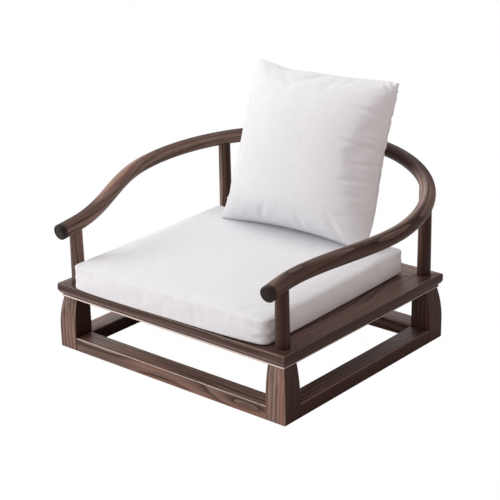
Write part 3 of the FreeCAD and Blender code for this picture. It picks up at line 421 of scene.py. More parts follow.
horseshoe = dict(
    halfWidth=0.376,
    widestBehind=0.053,
    backDepth=0.320,
    postLine=0.292,
    straightFrom=0.245,
    tipReach=0.297,
    flare=0.0017,
    tipHeight=0.2815,
    rise=0.1563,
    crestHeight=0.390,
    tipRadius=0.01775,
    crestRadius=0.01625,
    crestHalfSpan=0.178,
    tipRounding=0.004,
    tipShape=((0.0, 0.0), (0.12, 0.50), (0.30, 0.72), (0.55, 0.90), (1.0, 1.0)),  # a quarter round
    darkEnd=0.012,
    darkEdge=0.0012,
    darkShare=0.95,
    ringEvery=0.005,
    fewestRings=6,
    around=48,
    tangentStep=0.002,
    measureSteps=400,
    smoothUnder=50,
    lengths=[("armRight", "arm_right", 0, 1), ("bendRight", "bend_right", 1, "crest"),
             ("crest", "crest", "crest", "crestEnd"), ("bendLeft", "bend_left", "crestEnd", 3),
             ("armLeft", "arm_left", 3, 4)],
    # Painted shade along the rail, deepest on the right of the crest where the pillow's shadow falls: on
    # every face, towards the right and towards the top
    paintedShadeWays=(0, 0.25, 0.45, 0.7, 0.9, 1.05, 1.3, 1.45, 1.6, 1.9, 2.3, 2.9, 3.1, 3.55, 3.7, 4),
    paintedShadeLeast=(0.5, 0.5, 0.6, 0.4, 0.4, 0.35, 0.1, 0.75, 1.2, 1.1, 0.62, 0.5, -0.15, -0.1, 0.45, 0.45),
    paintedShadeSide=(0.32, 0.32, 0.25, 0.4, 0.4, 0.5, 0.7, 0.9, 0.2, 0, -0.3, -0.3, 0.5, 0.5, -0.22, -0.22),
    paintedShadeTop=(-0.2, 0, 0.1, -0.2, -0.25, -0.3, 0, 0, 0, 0, 0.4, 0.35, 0.1, 0.16, 0.4, 0.4),
    # Rings on each end face, as shares of the radius, and how far they are sunk at the tips
    capRings=(0.93, 0.85, 0.77, 0.45),
    capSunk=(0, 0.0010, 0, 0),
)


def bowPoint(way):
    # The line's ways run 0 to 1 along the right arm, 1 to 3 round the back and 3 to 4 along the left arm
    if way > 2:
        x, y, z = bowPoint(4 - way)
        return Vector((-x, y, z))
    h = horseshoe
    middleHeight = h["tipHeight"] + h["rise"] * (h["tipReach"] + h["widestBehind"])
    if way > 1:
        angle = (way - 1) * math.pi / 2
        share = math.sin(angle)
        ease = h["crestHeight"] - middleHeight - h["rise"] * h["backDepth"]
        z = middleHeight + h["rise"] * h["backDepth"] * share + ease * share ** 2
        return Vector((h["halfWidth"] * math.cos(angle),
                       h["widestBehind"] + h["backDepth"] * share + midShift, z))
    y = -h["tipReach"] + way * (h["tipReach"] + h["widestBehind"])
    if y < -h["straightFrom"]:
        share = (-h["straightFrom"] - y) / (h["tipReach"] - h["straightFrom"])
        x = h["postLine"] + h["flare"] * share ** 2
    else:
        share = (y + h["straightFrom"]) / (h["straightFrom"] + h["widestBehind"])
        x = h["postLine"] + (h["halfWidth"] - h["postLine"]) * share ** 2 * (3 - 2 * share)
    return Vector((x, y + midShift, h["tipHeight"] + h["rise"] * (y + h["tipReach"])))


def bowFrame(way):
    # Place on the line, with the directions along it, sideways and up
    step = horseshoe["tangentStep"]
    along = (bowPoint(way + step) - bowPoint(way - step)).normalized()
    side = along.cross(Vector((0, 0, 1))).normalized()
    return bowPoint(way), along, side, side.cross(along)


def bowLength(start, end):
    steps = horseshoe["measureSteps"]
    places = [bowPoint(start + (end - start) * i / steps) for i in range(steps + 1)]
    return sum((b - a).length for a, b in zip(places, places[1:]))


def ringMatrix(way, radius, forward):
    centre, along, side, up = bowFrame(way)
    turn = Matrix((side, up, along)).transposed().to_4x4()
    return Matrix.Translation(centre + along * forward) @ turn @ Matrix.Diagonal((radius, radius, 1, 1))


def railRadius(way):
    h = horseshoe
    crestShare = 1 - abs(way - 2) / 2
    return h["tipRadius"] * (1 - crestShare) + h["crestRadius"] * crestShare


def railStations(start, end, perWay, rings):
    # Rings from the middle of one end face to the middle of the other: place, radius and how far sunk
    h = horseshoe
    r = h["tipRounding"]
    ways = [start + (end - start) * i / rings for i in range(rings + 1)]
    body = [(way, railRadius(way), 0) for way in ways]
    if start == 0:
        body[:1] = [(start + share * r / perWay, railRadius(start) + (ease - 1) * r, 0)
                    for share, ease in h["tipShape"]]
    if end == 4:
        body[-1:] = [(end - share * r / perWay, railRadius(end) + (ease - 1) * r, 0)
                     for share, ease in reversed(h["tipShape"])]
    caps = list(zip(h["capRings"], h["capSunk"]))
    firstWay, firstRadius, _ = body[0]
    lastWay, lastRadius, _ = body[-1]
    first = [(firstWay, firstRadius * share, sunk * (start == 0)) for share, sunk in reversed(caps)]
    last = [(lastWay, lastRadius * share, -sunk * (end == 4)) for share, sunk in caps]
    return first + body + last


def sweptLength(name, start, end, before):
    # One length of the rail: a ring is extruded from station to station and both ends are closed
    h = horseshoe
    length = bowLength(start, end)
    perWay = length / abs(end - start)
    total = bowLength(0, 4)
    bm = bmesh.new()
    grainLayer = bm.verts.layers.float_vector.new("grain")
    darkLayer = bm.verts.layers.float.new("dark")
    paintedShadeLayer = bm.verts.layers.float.new("shade")

    def mark(ring, way):
        centre, _, side, up = bowFrame(way)
        gone = before + perWay * (way - start)
        tip = min(max((h["darkEnd"] - min(gone, total - gone)) / h["darkEdge"], 0), 1)
        least, sideways, top = (float(np.interp(way, h["paintedShadeWays"], h[key]))
                                for key in ("paintedShadeLeast", "paintedShadeSide", "paintedShadeTop"))
        for vert in ring:
            off = vert.co - centre
            across, rise = off.dot(side), off.dot(up)
            outward = (side * across + up * rise).normalized()
            vert[grainLayer] = (gone, across, rise)
            vert[darkLayer] = h["darkShare"] * tip
            # Painted shade along the rail, by where the face turns and how far along it lies
            vert[paintedShadeLayer] = min(max(sideways * outward.x + top * outward.z + least, 0), 1)

    stations = railStations(start, end, perWay, max(h["fewestRings"], round(length / h["ringEvery"])))
    ring = bmesh.ops.create_circle(bm, segments=h["around"], radius=1,
                                   matrix=ringMatrix(*stations[0]))["verts"]
    mark(ring, stations[0][0])
    firstEdges = edges = bm.edges[:]
    for last, station in zip(stations, stations[1:]):
        grown = bmesh.ops.extrude_edge_only(bm, edges=edges)["geom"]
        ring = [part for part in grown if isinstance(part, bmesh.types.BMVert)]
        edges = [part for part in grown if isinstance(part, bmesh.types.BMEdge)]
        bmesh.ops.transform(bm, matrix=ringMatrix(*station) @ ringMatrix(*last).inverted(), verts=ring)
        mark(ring, station[0])
    for rim in (firstEdges, edges):
        bmesh.ops.contextual_create(bm, geom=rim)
    bmesh.ops.recalc_face_normals(bm, faces=bm.faces)
    mesh = meshFrom(bm, name + "Mesh")
    smooth(mesh, h["smoothUnder"])
    return mesh, length


def horseshoePieces():
    h = horseshoe
    crestWay = 1 + math.acos(h["crestHalfSpan"] / h["halfWidth"]) / (math.pi / 2)
    named = {"crest": crestWay, "crestEnd": 4 - crestWay}
    gone = 0
    for name, node, start, end in h["lengths"]:
        mesh, length = sweptLength(name, named.get(start, start), named.get(end, end), gone)
        gone += length
        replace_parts(link(name, mesh, walnutTips, "frame"), node)


horseshoePieces()
print("horseshoe ready")


# Linen. The weave runs along the cloth coordinate, in metres

linen = dict(
    threadsPerMetre=1500.0,
    threadWander=5,
    # Each noise: scale along and across the threads, detail, roughness and where it starts
    slubWarp=((420, 24, 24), 3.0, 0.6),
    slubWeft=((24, 420, 420), 3.0, 0.6, (3, 5, 7)),
    patches=(9.0, 3.0, 0.5),
    slubTone=0.16,
    patchTone=(0.05, 0.815),
    weaveTone=0.035,
    seatColour=(0.795, 0.81, 0.83),
    pillowColour=(0.775, 0.785, 0.805),
    # Painted shade along the seams: where it starts, how much and its colour
    seamFrom=0.62,
    seamShadeShare=0.3,
    seamShadeColour=(0.42, 0.40, 0.40),
    roughness=(0.08, 0.86),
    slubHigh=0.8,
    weaveHigh=0.6,
    seamHigh=-3.0,
    bump=(0.5, 0.0005),
    sheen={"Specular IOR Level": 0.25, "Sheen Weight": 0.25, "Sheen Roughness": 0.5},
    panelsApart=(0.3, 0.1),
    hair=1e-6,
    quality=7,
    mass=0.3,
    shearPart=3,
    airDamping=2,
    pressFrom=0.12,
)


def weaveGroup():
    nodes, given = newGroup("linenWeave", [("Cloth", "Vector"), ("Base", "Color"), ("Seam", "Float")])
    cloth = given["Cloth"]
    slubs = [nodes.stretchedNoise(cloth, *linen[key]) for key in ("slubWarp", "slubWeft")]
    places = nodes.add("ShaderNodeSeparateXYZ", {0: cloth}).outputs[:2]
    sways = [nodes.math("MULTIPLY", slub, linen["threadWander"]) for slub in slubs]
    pitch = linen["threadsPerMetre"] * math.pi
    warp, weft = (nodes.math("SINE", nodes.scaled(place, pitch, sway)) for place, sway in zip(places, sways))
    weave = nodes.scaled(nodes.math("MULTIPLY", warp, weft), 0.5, 0.5)
    slub = nodes.math("ADD", *slubs)
    patch = nodes.noise(cloth, *linen["patches"])
    tone = nodes.scaled(slub, linen["slubTone"], nodes.scaled(patch, *linen["patchTone"]))
    tone = nodes.scaled(weave, linen["weaveTone"], tone)
    grey = nodes.add("ShaderNodeCombineXYZ", {0: tone, 1: tone, 2: tone}).outputs[0]
    colour = nodes.mix(1.0, given["Base"], grey, "MULTIPLY")
    # Painted shade along the seam, with the seam's groove in the height
    seamFrom = linen["seamFrom"]
    seam = nodes.math("MULTIPLY", nodes.math("SUBTRACT", given["Seam"], seamFrom, clamp=True),
                      1 / (1 - seamFrom))
    colour = nodes.mix(nodes.math("MULTIPLY", seam, linen["seamShadeShare"]), colour, (*linen["seamShadeColour"], 1))
    height = nodes.scaled(slub, linen["slubHigh"], nodes.math("MULTIPLY", weave, linen["weaveHigh"]))
    height = nodes.scaled(seam, linen["seamHigh"], height)
    finishGroup(nodes, colour, nodes.scaled(weave, *linen["roughness"]), height)


def linenMaterial(name, colour):
    material, nodes = newMaterial(name)
    inputs = {"Cloth": nodes.attribute("cloth", "Vector"), "Base": (*colour, 1),
              "Seam": nodes.attribute("seam")}
    effect = nodes.add("ShaderNodeGroup", inputs, node_tree=bpy.data.node_groups["linenWeave"])
    finishSurface(nodes, effect.outputs, linen["bump"], linen["sheen"])
    return material


weaveGroup()
seatLinen = linenMaterial("seatLinen", linen["seatColour"])
pillowLinen = linenMaterial("pillowLinen", linen["pillowColour"])
print("linen ready")


def lattice(cells, size):
    # A closed box of small quads, with the cloth coordinate of each panel on its corners
    panelStep, sideStep = linen["panelsApart"]
    bm = bmesh.new()
    layer = bm.loops.layers.float_vector.new("cloth")
    for axis, (first, second) in enumerate([(1, 2), (2, 0), (0, 1)]):
        for end in (-1, 1):
            place = Matrix.Diagonal((0, 0, 0, 1))
            place[first][0], place[second][1], place[axis][2] = size[first], size[second], 1
            place[axis][3] = end * size[axis] / 2
            panel = bmesh.ops.create_grid(bm, x_segments=cells[first], y_segments=cells[second], size=0.5,
                                          matrix=place)["verts"]
            faces = list({face for vert in panel for face in vert.link_faces})
            for face in faces:
                for loop in face.loops:
                    flat = [loop.vert.co[a] for a in range(3) if a != axis]
                    loop[layer] = (flat[0], flat[1] + axis, panelStep * axis + sideStep * (end > 0))
            if end < 0:
                bmesh.ops.reverse_faces(bm, faces=faces)
    bmesh.ops.remove_doubles(bm, verts=bm.verts, dist=linen["hair"])
    return bm


def inflate(mesh, held, values):
    # Runs the cloth simulation on a closed form, sewn fast where held, and gives the swollen points
    sack = inScene("sack", mesh.copy())
    group = sack.vertex_groups.new(name="held")
    for index in np.nonzero(held > 0)[0]:
        group.add([int(index)], float(held[index]), "REPLACE")
    cloth = sack.modifiers.new("cloth", "CLOTH")
    settings = cloth.settings
    settings.vertex_group_mass = "held"
    settings.use_pressure = True
    settings.uniform_pressure_force = values["pressure"]
    settings.effector_weights.gravity = 0
    settings.shrink_min = -values["slack"]
    settings.quality = linen["quality"]
    settings.mass = linen["mass"]
    settings.tension_stiffness = values["stiffness"]
    settings.compression_stiffness = values["stiffness"]
    settings.shear_stiffness = values["stiffness"] / linen["shearPart"]
    settings.bending_stiffness = values["bending"]
    settings.air_damping = linen["airDamping"]
    cloth.collision_settings.use_collision = False
    cloth.collision_settings.use_self_collision = False
    cloth.point_cache.frame_start = 1
    cloth.point_cache.frame_end = values["frames"]
    scene = bpy.context.scene
    for step in range(1, values["frames"] + 1):
        scene.frame_set(step)
    result = bpy.data.meshes.new_from_object(sack.evaluated_get(bpy.context.evaluated_depsgraph_get()))
    points = pointsOf(result)
    bpy.data.objects.remove(sack)
    bpy.data.meshes.remove(result)
    scene.frame_set(1)
    return points


def capped(move, most):
    length = np.linalg.norm(move, axis=1)
    return move * (most * np.tanh(length / most) / np.maximum(length, 1e-9))[:, None]


def evened(mesh, move, rounds):
    # Spreads a movement over neighbouring points, which takes the hard creases out of it
    ends = np.empty(len(mesh.edges) * 2, dtype=np.int64)
    mesh.edges.foreach_get("vertices", ends)
    first, second = ends.reshape(-1, 2).T
    near = np.bincount(ends, minlength=len(move))[:, None]
    for _ in range(rounds):
        total = np.zeros_like(move)
        np.add.at(total, first, move[second])
        np.add.at(total, second, move[first])
        move = (move + total / near) / 2
    return move


def swollen(mesh, formed, held, values):
    move = capped(inflate(mesh, held, values) - formed, values["cap"])
    return formed + evened(mesh, move, values["evening"])


def setPoints(mesh, points):
    mesh.vertices.foreach_set("co", np.asarray(points, dtype=np.float32).ravel())
    mesh.update()


def bell(values, centre, width):
    return np.exp(-((values - centre) / width) ** 2)


def pressed(points, mesh, way, room, halfWidth=None, spread=0.0):
    # Moves points that lie beyond another piece's near face back to just before it. A narrow piece presses
    # in its neighbourhood too, less and less over the spread
    tree = BVHTree.FromPolygons([vert.co for vert in mesh.vertices],
                                [face.vertices[:] for face in mesh.polygons])
    way, lead = Vector(way), linen["pressFrom"]
    for index, point in enumerate(points):
        start, share = Vector(point) - way * lead, 1.0
        if halfWidth is not None:
            past = max(abs(start.x) - halfWidth, 0) / spread
            if past >= 1:
                continue
            share = 1 - past ** 2 * (3 - 2 * past)
            start.x = min(max(start.x, -halfWidth), halfWidth)
        hit, _, _, gone = tree.ray_cast(start, way, lead + room)
        if hit is not None:
            points[index] -= np.array(way) * share * (lead + room - gone)
    return points


def refined(piece):
    rounder = piece.modifiers.new("rounder", "SUBSURF")
    rounder.levels = 1
    rounder.render_levels = 1
    rounder.subdivision_type = "CATMULL_CLARK"
    mesh = bpy.data.meshes.new_from_object(piece.evaluated_get(bpy.context.evaluated_depsgraph_get()))
    piece.modifiers.clear()
    piece.data = mesh
    mesh.shade_smooth()


# Seat cushion: a boxed cushion, its top and bottom sewn to an upright band

seatCushion = dict(
    base=(-0.011, -0.0235, 0.0003),
    turn=math.radians(1.8),
    size=(0.538, 0.506, 0.055),
    crown=0.006,
    draw=(0.002, -0.003),
    frontFull=0.0075,
    frontUpper=0.55,
    upright=0.014,
    edge=0.0065,
    upperSeam=0.66,
    # Each pinch: level, reach from the upright edge, depth and slope
    pinches=[(0.044, 0.020, 0.0042, -0.10), (0.033, 0.024, 0.0046, 0.25), (0.021, 0.020, 0.0042, -0.20),
             (0.011, 0.016, 0.0026, 0.15)],
    pinchFrom=0.006,
    pinchWidth=0.0042,
    pinchShare=0.3,
    cells=(88, 83, 14),
    footHeld=0.6,
    pressure=1.4,
    frames=16,
    slack=0.006,
    stiffness=14.0,
    bending=2.0,
    cap=0.0035,
    evening=3,
    zipStart=0.0275,
    zipReach=0.015,
    zipHalf=0.247,
    zipFlat=1.3,
    skin=0.0002,
    fill=0.85,
)


def rounding(share, edge):
    # How far an arc of that radius draws in from a seam, 45 degrees on each side of it
    return edge * (1 - np.sqrt(1 - share ** 2 / 2))


def boxedForm(flat, values):
    # Takes a place on a plain box to the same place on the cushion's sewn form
    half = np.array(values["size"]) / 2
    far, side = abs(flat), np.sign(flat)
    shareX, shareY = shares = (flat / half)[:, :2].T
    points = flat.copy()
    deep = np.maximum(far[:, :2] - (half[:2] - values["upright"]), 0)
    both = np.hypot(*deep.T)
    shrink = np.where(both > 1e-9, deep.max(1) / np.maximum(both, 1e-9), 1)
    points[:, :2] -= side[:, :2] * deep * (1 - shrink)[:, None]
    level = np.clip((flat[:, 2] / half[2] + 1) / 2, 0, 1)
    upper, foot = values["draw"]
    draw = upper * level + foot * (1 - level)  # the upper seam pulls in, the foot spreads
    for axis in (0, 1):
        points[:, axis] -= side[:, axis] * draw * (1 - shares[1 - axis] ** 4) * shares[axis] ** 2
    full = values["frontFull"] * (1 - values["frontUpper"] * level)
    points[:, 1] -= full * (1 - abs(shareX) ** 6) * (shareY < 0) * shareY ** 2
    edge = values["edge"]
    near = np.clip(1 - (half - far) / edge, 0, 1)
    drop = near[:, :2].max(1)
    onPanel = near[:, 2] > 0.99
    for axis in (0, 1):
        points[:, axis] -= side[:, axis] * rounding(near[:, 2], edge) * near[:, axis]
    points[:, 2] -= side[:, 2] * rounding(drop, edge) * onPanel
    top = np.clip(flat[:, 2] / half[2], 0, 1)
    points[:, 2] += values["crown"] * top * np.sqrt((1 - shareX ** 2) * (1 - shareY ** 2))
    return points


def cornerPinches(points, values):
    # Short creases that wrap round each upright edge, deepest at the front right one
    width, depth, _ = values["size"]
    for sideX in (-1, 1):
        for sideY in (-1, 1):
            share = 1 if (sideX, sideY) == (1, -1) else values["pinchShare"]
            away = np.hypot(points[:, 0] - sideX * width / 2, points[:, 1] - sideY * depth / 2)
            for level, reach, deep, slope in values["pinches"]:
                rise = points[:, 2] - level - slope * away
                dent = share * deep * bell(away, values["pinchFrom"], reach)
                dent *= bell(rise, 0, values["pinchWidth"])
                points[:, 0] -= sideX * dent
                points[:, 1] -= sideY * dent
    return points


def inPlace(mesh, values):
    # Sets a cushion on the seat, turned and leaned as it lies
    base = Vector(values["base"]) + Vector((0, midShift, seatTop))
    mesh.transform(Matrix.Translation(base) @ Matrix.Rotation(values["turn"], 4, "Z")
                   @ Matrix.Rotation(values.get("lean", 0), 4, "X"))


def seatCushionPiece():
    values = seatCushion
    width, depth, height = values["size"]
    mesh = meshFrom(lattice(values["cells"], values["size"]), "seatCushionMesh")
    flat = pointsOf(mesh)
    formed = boxedForm(flat, values)
    setPoints(mesh, formed)
    hair = linen["hair"]
    onRim = np.minimum(width / 2 - abs(flat[:, 0]), depth / 2 - abs(flat[:, 1])) < hair
    onTop, onFoot = flat[:, 2] > height / 2 - hair, flat[:, 2] < hair - height / 2
    held = np.maximum(onRim & (onTop | onFoot), onFoot * values["footHeld"])
    points = swollen(mesh, formed, held, values)
    points[:, 2] += height / 2
    points = cornerPinches(points, values)
    byZip = bell(points[:, 2], values["zipStart"], values["zipReach"]) * (flat[:, 1] > depth / 2 - hair)
    byZip = np.minimum(byZip * values["zipFlat"], 1) * (abs(flat[:, 0]) < values["zipHalf"])
    points[:, 1] += byZip * (depth / 2 - values["skin"] - points[:, 1])
    points[:, 2] = np.maximum(points[:, 2], values["skin"])
    setPoints(mesh, points)
    # The seam mask gives painted shade and the seam's groove, weaker on the upper seam than on the foot
    writeFloats(mesh, "seam", onRim * np.where(onTop, values["upperSeam"], onFoot), "POINT")
    inPlace(mesh, values)
    piece = link("seatCushion", mesh, seatLinen, "seat_cushion")
    refined(piece)
    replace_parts(piece, "seat_cover", "seat_filling")
    return piece


# Back pillow: two panels sewn edge to edge and filled, leaning on the back

backPillow = dict(
    base=(0.004, 0.14675, 0.0598),
    turn=math.radians(2),
    lean=math.radians(-21.5),
    size=(0.392, 0.176, 0.386),
    seam=0.0012,
    draw=0.011,
    drawTilt=0.4,
    footDraw=0.015,
    taper=0.52,
    swell=2.5,
    footSwell=3.4,
    swellAcross=(2.05, 2.5),
    hip=(0.006, 0.085, 0.080),
    sag=0.03,
    cells=(98, 2, 97),
    pressure=3.5,
    frames=16,
    slack=0.012,
    stiffness=12.0,
    bending=1.5,
    cap=0.006,
    evening=4,
    # Each fold: from a place on the seam to a place on the panel, across and up, then depth and width
    folds=[(0.188, 0.302, 0.122, 0.312, 0.0056, 0.0048), (0.186, 0.228, 0.112, 0.234, 0.0056, 0.0048),
           (0.185, 0.190, 0.135, 0.182, 0.0034, 0.0050), (0.185, 0.154, 0.125, 0.146, 0.0046, 0.0050),
           (0.186, 0.118, 0.140, 0.112, 0.0026, 0.0060), (0.186, 0.075, 0.135, 0.070, 0.0028, 0.0070),
           (0.190, 0.262, 0.150, 0.266, 0.0024, 0.0055),
           (0.200, 0.362, 0.166, 0.396, 0.0070, 0.0032), (0.199, 0.346, 0.146, 0.396, 0.0070, 0.0034),
           (0.036, 0.386, -0.058, 0.336, 0.0085, 0.0080), (0.105, 0.382, 0.060, 0.345, 0.0025, 0.0090),
           (-0.150, 0.012, -0.120, 0.070, 0.0012, 0.0090), (-0.070, 0.010, -0.060, 0.060, 0.0018, 0.0080),
           (0.040, 0.010, 0.050, 0.060, 0.0018, 0.0080), (0.150, 0.012, 0.115, 0.075, 0.0034, 0.0080),
           (-0.186, 0.110, -0.140, 0.116, 0.0018, 0.0060), (-0.186, 0.250, -0.140, 0.244, 0.0018, 0.0060)],
    foldRoom=0.006,
    foldStart=(0.12, 0.1),
    foldFade=0.7,
    ridge=(0.45, 1.9),
    # Each local move: its width, then how far across, forward and up it goes
    ear=(0.026, 0, -0.007, -0.005),
    foot=(0.030, -0.008, -0.004, 0),
    lip=(0.007, -0.0028, -0.00112, 0),
    dent=(-0.105, 0.045),
    dentLevel=(0.010, 0.024),
    dentDeep=0.005,
    splatRoom=0.0008,
    splatSpread=0.030,
    splatEdge=0.001,
    seatRoom=0.0006,
    fill=0.8,
)


def pillowForm(flat, values):
    # Takes a place on a flat sack to the same place on the filled pillow
    width, thick, height = values["size"]
    shareX, shareZ = 2 * flat[:, 0] / width, 2 * flat[:, 2] / height
    points = flat.copy()
    draw = values["draw"] * (flat[:, 0] > 0)  # the zip keeps the left seam straight
    tilt = 1 - values["drawTilt"] + values["drawTilt"] * shareZ
    points[:, 0] -= draw * (1 - shareZ ** 2) * abs(shareX) ** 3 * tilt
    most, level, size = values["hip"]
    points[:, 0] += most * bell(flat[:, 2] + height / 2, level, size) * np.clip(shareX, 0, 1) ** 2
    drawn = np.where(flat[:, 2] > 0, values["draw"], -values["footDraw"])
    points[:, 2] -= drawn * (1 - shareX ** 2) * abs(shareZ) ** 3
    sagging = shareZ + values["sag"] * (1 - shareZ ** 2)  # the filling settles towards the lower seam
    swell = np.where(shareX < 0, *values["swellAcross"])
    swellUp = np.where((sagging < 0) & (flat[:, 1] < 0), values["footSwell"], values["swell"])
    fullness = (np.clip(1 - abs(shareX) ** swell, 0, 1)
                * np.clip(1 - abs(sagging) ** swellUp, 0, 1)) ** values["taper"]
    points[:, 1] = np.sign(flat[:, 1]) * (values["seam"] + (thick / 2 - values["seam"]) * fullness)
    return points


def folded(points, values):
    # Short folds that run in from the seams, the ear at the upper right corner, the foot at the lower left,
    # the front panel's lip over the zip and the dented top
    width, _, height = values["size"]
    across, forward, up = points.T
    face = np.where(forward < 0, -1.0, 1.0) * np.clip(abs(forward) / values["foldRoom"], 0, 1)
    lead, least = values["foldStart"]
    ridgeShare, ridgeOff = values["ridge"]
    moved = points.copy()
    for x0, z0, x1, z1, deep, wide in values["folds"]:
        run = np.array([x1 - x0, z1 - z0])
        from0 = points[:, [0, 2]] - (x0, z0)
        share = np.clip(from0 @ run / np.hypot(*run) ** 2, 0, 1)
        off = np.hypot(*(from0 - share[:, None] * run).T)
        strength = deep * np.minimum(share / lead + least, 1) * (1 - share) ** values["foldFade"]
        moved[:, 1] -= face * strength * (bell(off, 0, wide) - ridgeShare * bell(off, ridgeOff * wide, wide))
    wide, *move = values["ear"]
    moved += (bell(across, width / 2, wide) * bell(up, height, wide))[:, None] * move
    wide, *move = values["foot"]
    moved += (bell(across, -width / 2, wide) * bell(up, 0, wide))[:, None] * move
    wide, *move = values["lip"]
    moved += (bell(across, -width / 2, wide) * (forward < 0))[:, None] * move
    below, wide = values["dentLevel"]
    moved[:, 2] -= values["dentDeep"] * bell(across, *values["dent"]) * bell(up, height - below, wide)
    return moved


def pillowPiece(seatPiece):
    values = backPillow
    width, thick, height = values["size"]
    mesh = meshFrom(lattice(values["cells"], (width, 2 * values["seam"], height)), "backPillowMesh")
    flat = pointsOf(mesh)
    formed = pillowForm(flat, values)
    setPoints(mesh, formed)
    hair = linen["hair"]
    onSeam = np.minimum(width / 2 - abs(flat[:, 0]), height / 2 - abs(flat[:, 2])) < hair
    points = np.where(onSeam[:, None], formed, swollen(mesh, formed, onSeam.astype(float), values))
    points[:, 1] *= min(1, thick / 2 / abs(points[:, 1]).max())
    points[:, 2] += height / 2
    setPoints(mesh, folded(points, values))
    # The seam mask gives painted shade and the seam's groove
    writeFloats(mesh, "seam", onSeam & (abs(flat[:, 1]) < hair), "POINT")
    inPlace(mesh, values)
    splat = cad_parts["back_splat"].data
    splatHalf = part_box("back_splat")[1].x - values["splatEdge"]
    points = pressed(pointsOf(mesh), splat, (0, 1, 0), values["splatRoom"], splatHalf, values["splatSpread"])
    setPoints(mesh, pressed(points, seatPiece.data, (0, 0, -1), values["seatRoom"]))
    piece = link("backPillow", mesh, pillowLinen, "back_pillow")
    refined(piece)
    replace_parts(piece, "pillow_cover", "pillow_filling")


seatPiece = seatCushionPiece()
print("seat cushion ready")
pillowPiece(seatPiece)
print("pillow ready")


# Zips, and the wood that stays hidden in the joints

zipLook = dict(
    tape=(0.74, 0.745, 0.76),
    # Painted shade: the tape's rib troughs and the gaps between the teeth are darker
    ribTroughShade=0.88,
    teeth=(0.86, 0.86, 0.87),
    gap=(0.30, 0.30, 0.31),
    pitch=0.0024,
    toothSpread=(2.0, 0.9),
    toothHigh=(1.5, 1.0),
    teethReach=0.0026,
    ribPitch=0.0009,
    ribHigh=0.1,
    roughness=(-0.4, 0.8),
    bump=(0.6, 0.0006),
    metal=(0.60, 0.60, 0.61),
    scuffs=(900.0, 4.0, 0.6),
    metalRough=(0.25, 0.2),
    metalBump=(0.15, 0.0001),
)


def tapeMaterial(name, cushion, start, along, across):
    # The tape's own frame comes from where its cushion lies; the teeth run down its middle
    look = zipLook
    material, nodes = newMaterial(name)
    place = nodes.add("ShaderNodeTexCoord").outputs["Object"]
    base = Vector(cushion["base"]) + Vector((0, midShift, seatTop))
    turn = (cushion.get("lean", 0), 0, cushion["turn"])
    inCushion = nodes.add("ShaderNodeMapping", {"Vector": place, "Location": base, "Rotation": turn},
                          vector_type="TEXTURE").outputs[0]
    parts = nodes.add("ShaderNodeSeparateXYZ", {0: inCushion}).outputs
    off = nodes.math("ABSOLUTE", nodes.math("SUBTRACT", parts[across], start))
    onTeeth = nodes.math("LESS_THAN", off, look["teethReach"])
    wave, ribs = (nodes.math("SINE", nodes.math("MULTIPLY", parts[along], 2 * math.pi / look[key]))
                  for key in ("pitch", "ribPitch"))
    tooth = nodes.scaled(wave, *look["toothSpread"], clamp=True)
    # Painted shade in the rib troughs and between the teeth
    dark = tuple(look["ribTroughShade"] * part for part in look["tape"])
    tape = nodes.ramp(nodes.scaled(ribs, 0.5, 0.5), [(0.0, dark), (1.0, look["tape"])])
    teeth = nodes.ramp(tooth, [(0.0, look["gap"]), (1.0, look["teeth"])])
    rise = nodes.math("MULTIPLY", onTeeth, nodes.scaled(tooth, *look["toothHigh"]))
    finishSurface(nodes, {"Color": nodes.mix(onTeeth, tape, teeth),
                          "Roughness": nodes.scaled(onTeeth, *look["roughness"]),
                          "Height": nodes.scaled(ribs, look["ribHigh"], rise)}, look["bump"])
    return material


def metalMaterial():
    material, nodes = newMaterial("zipMetal")
    place = nodes.add("ShaderNodeTexCoord").outputs["Object"]
    scuffs = nodes.noise(place, *zipLook["scuffs"])
    finishSurface(nodes, {"Color": (*zipLook["metal"], 1), "Height": scuffs,
                          "Roughness": nodes.scaled(scuffs, *zipLook["metalRough"])},
                  zipLook["metalBump"], {"Metallic": 1.0})
    return material


def paint(material, *names):
    for name in names:
        dress(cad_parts[name].data, material)


def hiddenWalnutMaterial():
    material, nodes = newMaterial("walnutHidden")
    place = nodes.add("ShaderNodeTexCoord").outputs["Object"]
    effect = nodes.add("ShaderNodeGroup", {"Grain": place}, node_tree=bpy.data.node_groups["walnutGrain"])
    finishSurface(nodes, effect.outputs, walnut["hiddenBump"])
    return material


paint(tapeMaterial("seatZipTape", seatCushion, seatCushion["zipStart"], 0, 2), "seat_zip_tape")
paint(tapeMaterial("pillowZipTape", backPillow, 0.0, 2, 1), "pillow_zip_tape")
paint(metalMaterial(), "seat_zip_slider", "seat_zip_pull", "pillow_zip_slider", "pillow_zip_pull")
paint(hiddenWalnutMaterial(), "corner_tenons", "scarf_pegs")
print("zips ready")


# Floor, light and camera

studio = dict(
    floorHalf=6.0,
    floorColour=(0.90, 0.855, 0.845),
    floorShow=0.995,
    world=(1.0, 0.875, 0.85),
    worldStrength=0.55,
    lampColour=(0.925, 0.975, 1.0),
    key=dict(place=(-2.7, -2.3, 1.6), size=2.2, power=73.0, aim=(0, 0, 0.2)),
    top=dict(place=(-0.8, 0.1, 3.2), size=2.6, power=38.0, aim=(0, 0, 0.2)),
    rim=dict(place=(-2.4, 2.6, 1.3), size=1.8, power=18.0, aim=(0, 0, 0.3)),
)


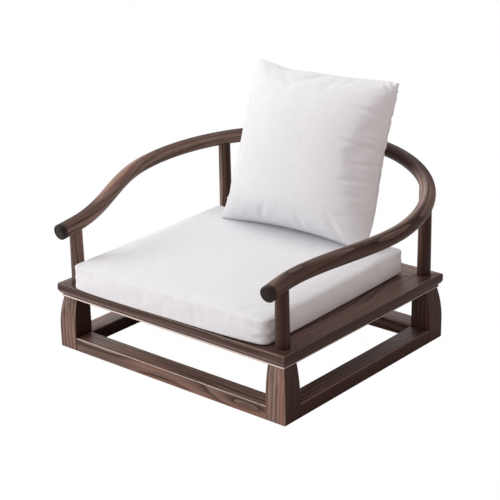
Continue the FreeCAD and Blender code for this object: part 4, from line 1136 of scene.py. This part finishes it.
def floorMaterial():
    # The camera sees the floor all but white, and the light bounces off its own colour
    material, nodes = newMaterial("paleFloor")
    surface = nodes.add("ShaderNodeBsdfDiffuse", {"Color": (*studio["floorColour"], 1)})
    glow = nodes.add("ShaderNodeEmission", {"Color": (1, 1, 1, 1), "Strength": 1.0})
    seen = nodes.add("ShaderNodeLightPath").outputs["Is Camera Ray"]
    share = nodes.math("MULTIPLY", seen, studio["floorShow"])
    finishMaterial(nodes, nodes.add("ShaderNodeMixShader", {0: share, 1: surface.outputs[0],
                                                            2: glow.outputs[0]}))
    return material


def floorPiece():
    bm = bmesh.new()
    bmesh.ops.create_grid(bm, x_segments=1, y_segments=1, size=studio["floorHalf"])
    mesh = meshFrom(bm, "floorMesh")
    dress(mesh, floorMaterial())
    inScene("floor", mesh)


def areaLight(name, place, size, power, aim):
    light = bpy.data.lights.new(name, "AREA")
    light.shape = "SQUARE"
    light.size = size
    light.energy = power
    light.color = studio["lampColour"]
    lamp = inScene(name, light)
    lamp.location = place
    lamp.rotation_euler = (Vector(aim) - Vector(place)).to_track_quat("-Z", "Y").to_euler()


def studioLight():
    for name in ("key", "top", "rim"):
        areaLight(name + "Light", **studio[name])
    world = bpy.data.worlds.new("studio")
    world.use_nodes = True
    world.node_tree.nodes.clear()
    nodes = Nodes(world.node_tree)
    room = nodes.add("ShaderNodeBackground", {"Color": (*studio["world"], 1),
                                              "Strength": studio["worldStrength"]})
    white = nodes.add("ShaderNodeBackground", {"Color": (1, 1, 1, 1), "Strength": 1.0})
    seen = nodes.add("ShaderNodeLightPath").outputs["Is Camera Ray"]
    both = nodes.add("ShaderNodeMixShader", {0: seen, 1: room.outputs[0], 2: white.outputs[0]})
    nodes.add("ShaderNodeOutputWorld", {0: both.outputs[0]})
    bpy.context.scene.world = world


view = dict(
    azimuth=math.radians(40.472),
    elevation=math.radians(20.53),
    distance=3.350,
    slide=(-0.004, 0.206),
    roll=math.radians(-1.145),
    lens=106.27,
    sensor=36,
    farEnd=30,
)


def photoCamera():
    azimuth, elevation, roll = view["azimuth"], view["elevation"], view["roll"]
    back = Vector((math.sin(azimuth) * math.cos(elevation), -math.cos(azimuth) * math.cos(elevation),
                   math.sin(elevation)))
    right = Vector((math.cos(azimuth), math.sin(azimuth), 0))
    up = back.cross(right)
    tiltedRight = math.cos(roll) * right + math.sin(roll) * up
    tiltedUp = math.cos(roll) * up - math.sin(roll) * right
    slideRight, slideUp = view["slide"]
    place = (tiltedRight * slideRight + tiltedUp * slideUp + back * view["distance"]
             + Vector((0, midShift, 0)))
    camera = bpy.data.cameras.new("photoCamera")
    camera.lens = view["lens"]
    camera.sensor_width = view["sensor"]
    camera.clip_end = view["farEnd"]
    eye = inScene("photoCamera", camera)
    turn = Matrix((tiltedRight, tiltedUp, back)).transposed()
    eye.matrix_world = Matrix.Translation(place) @ turn.to_4x4()
    bpy.context.scene.camera = eye


floorPiece()
studioLight()
photoCamera()
bpy.context.scene.view_settings.view_transform = "Standard"
print("studio ready")
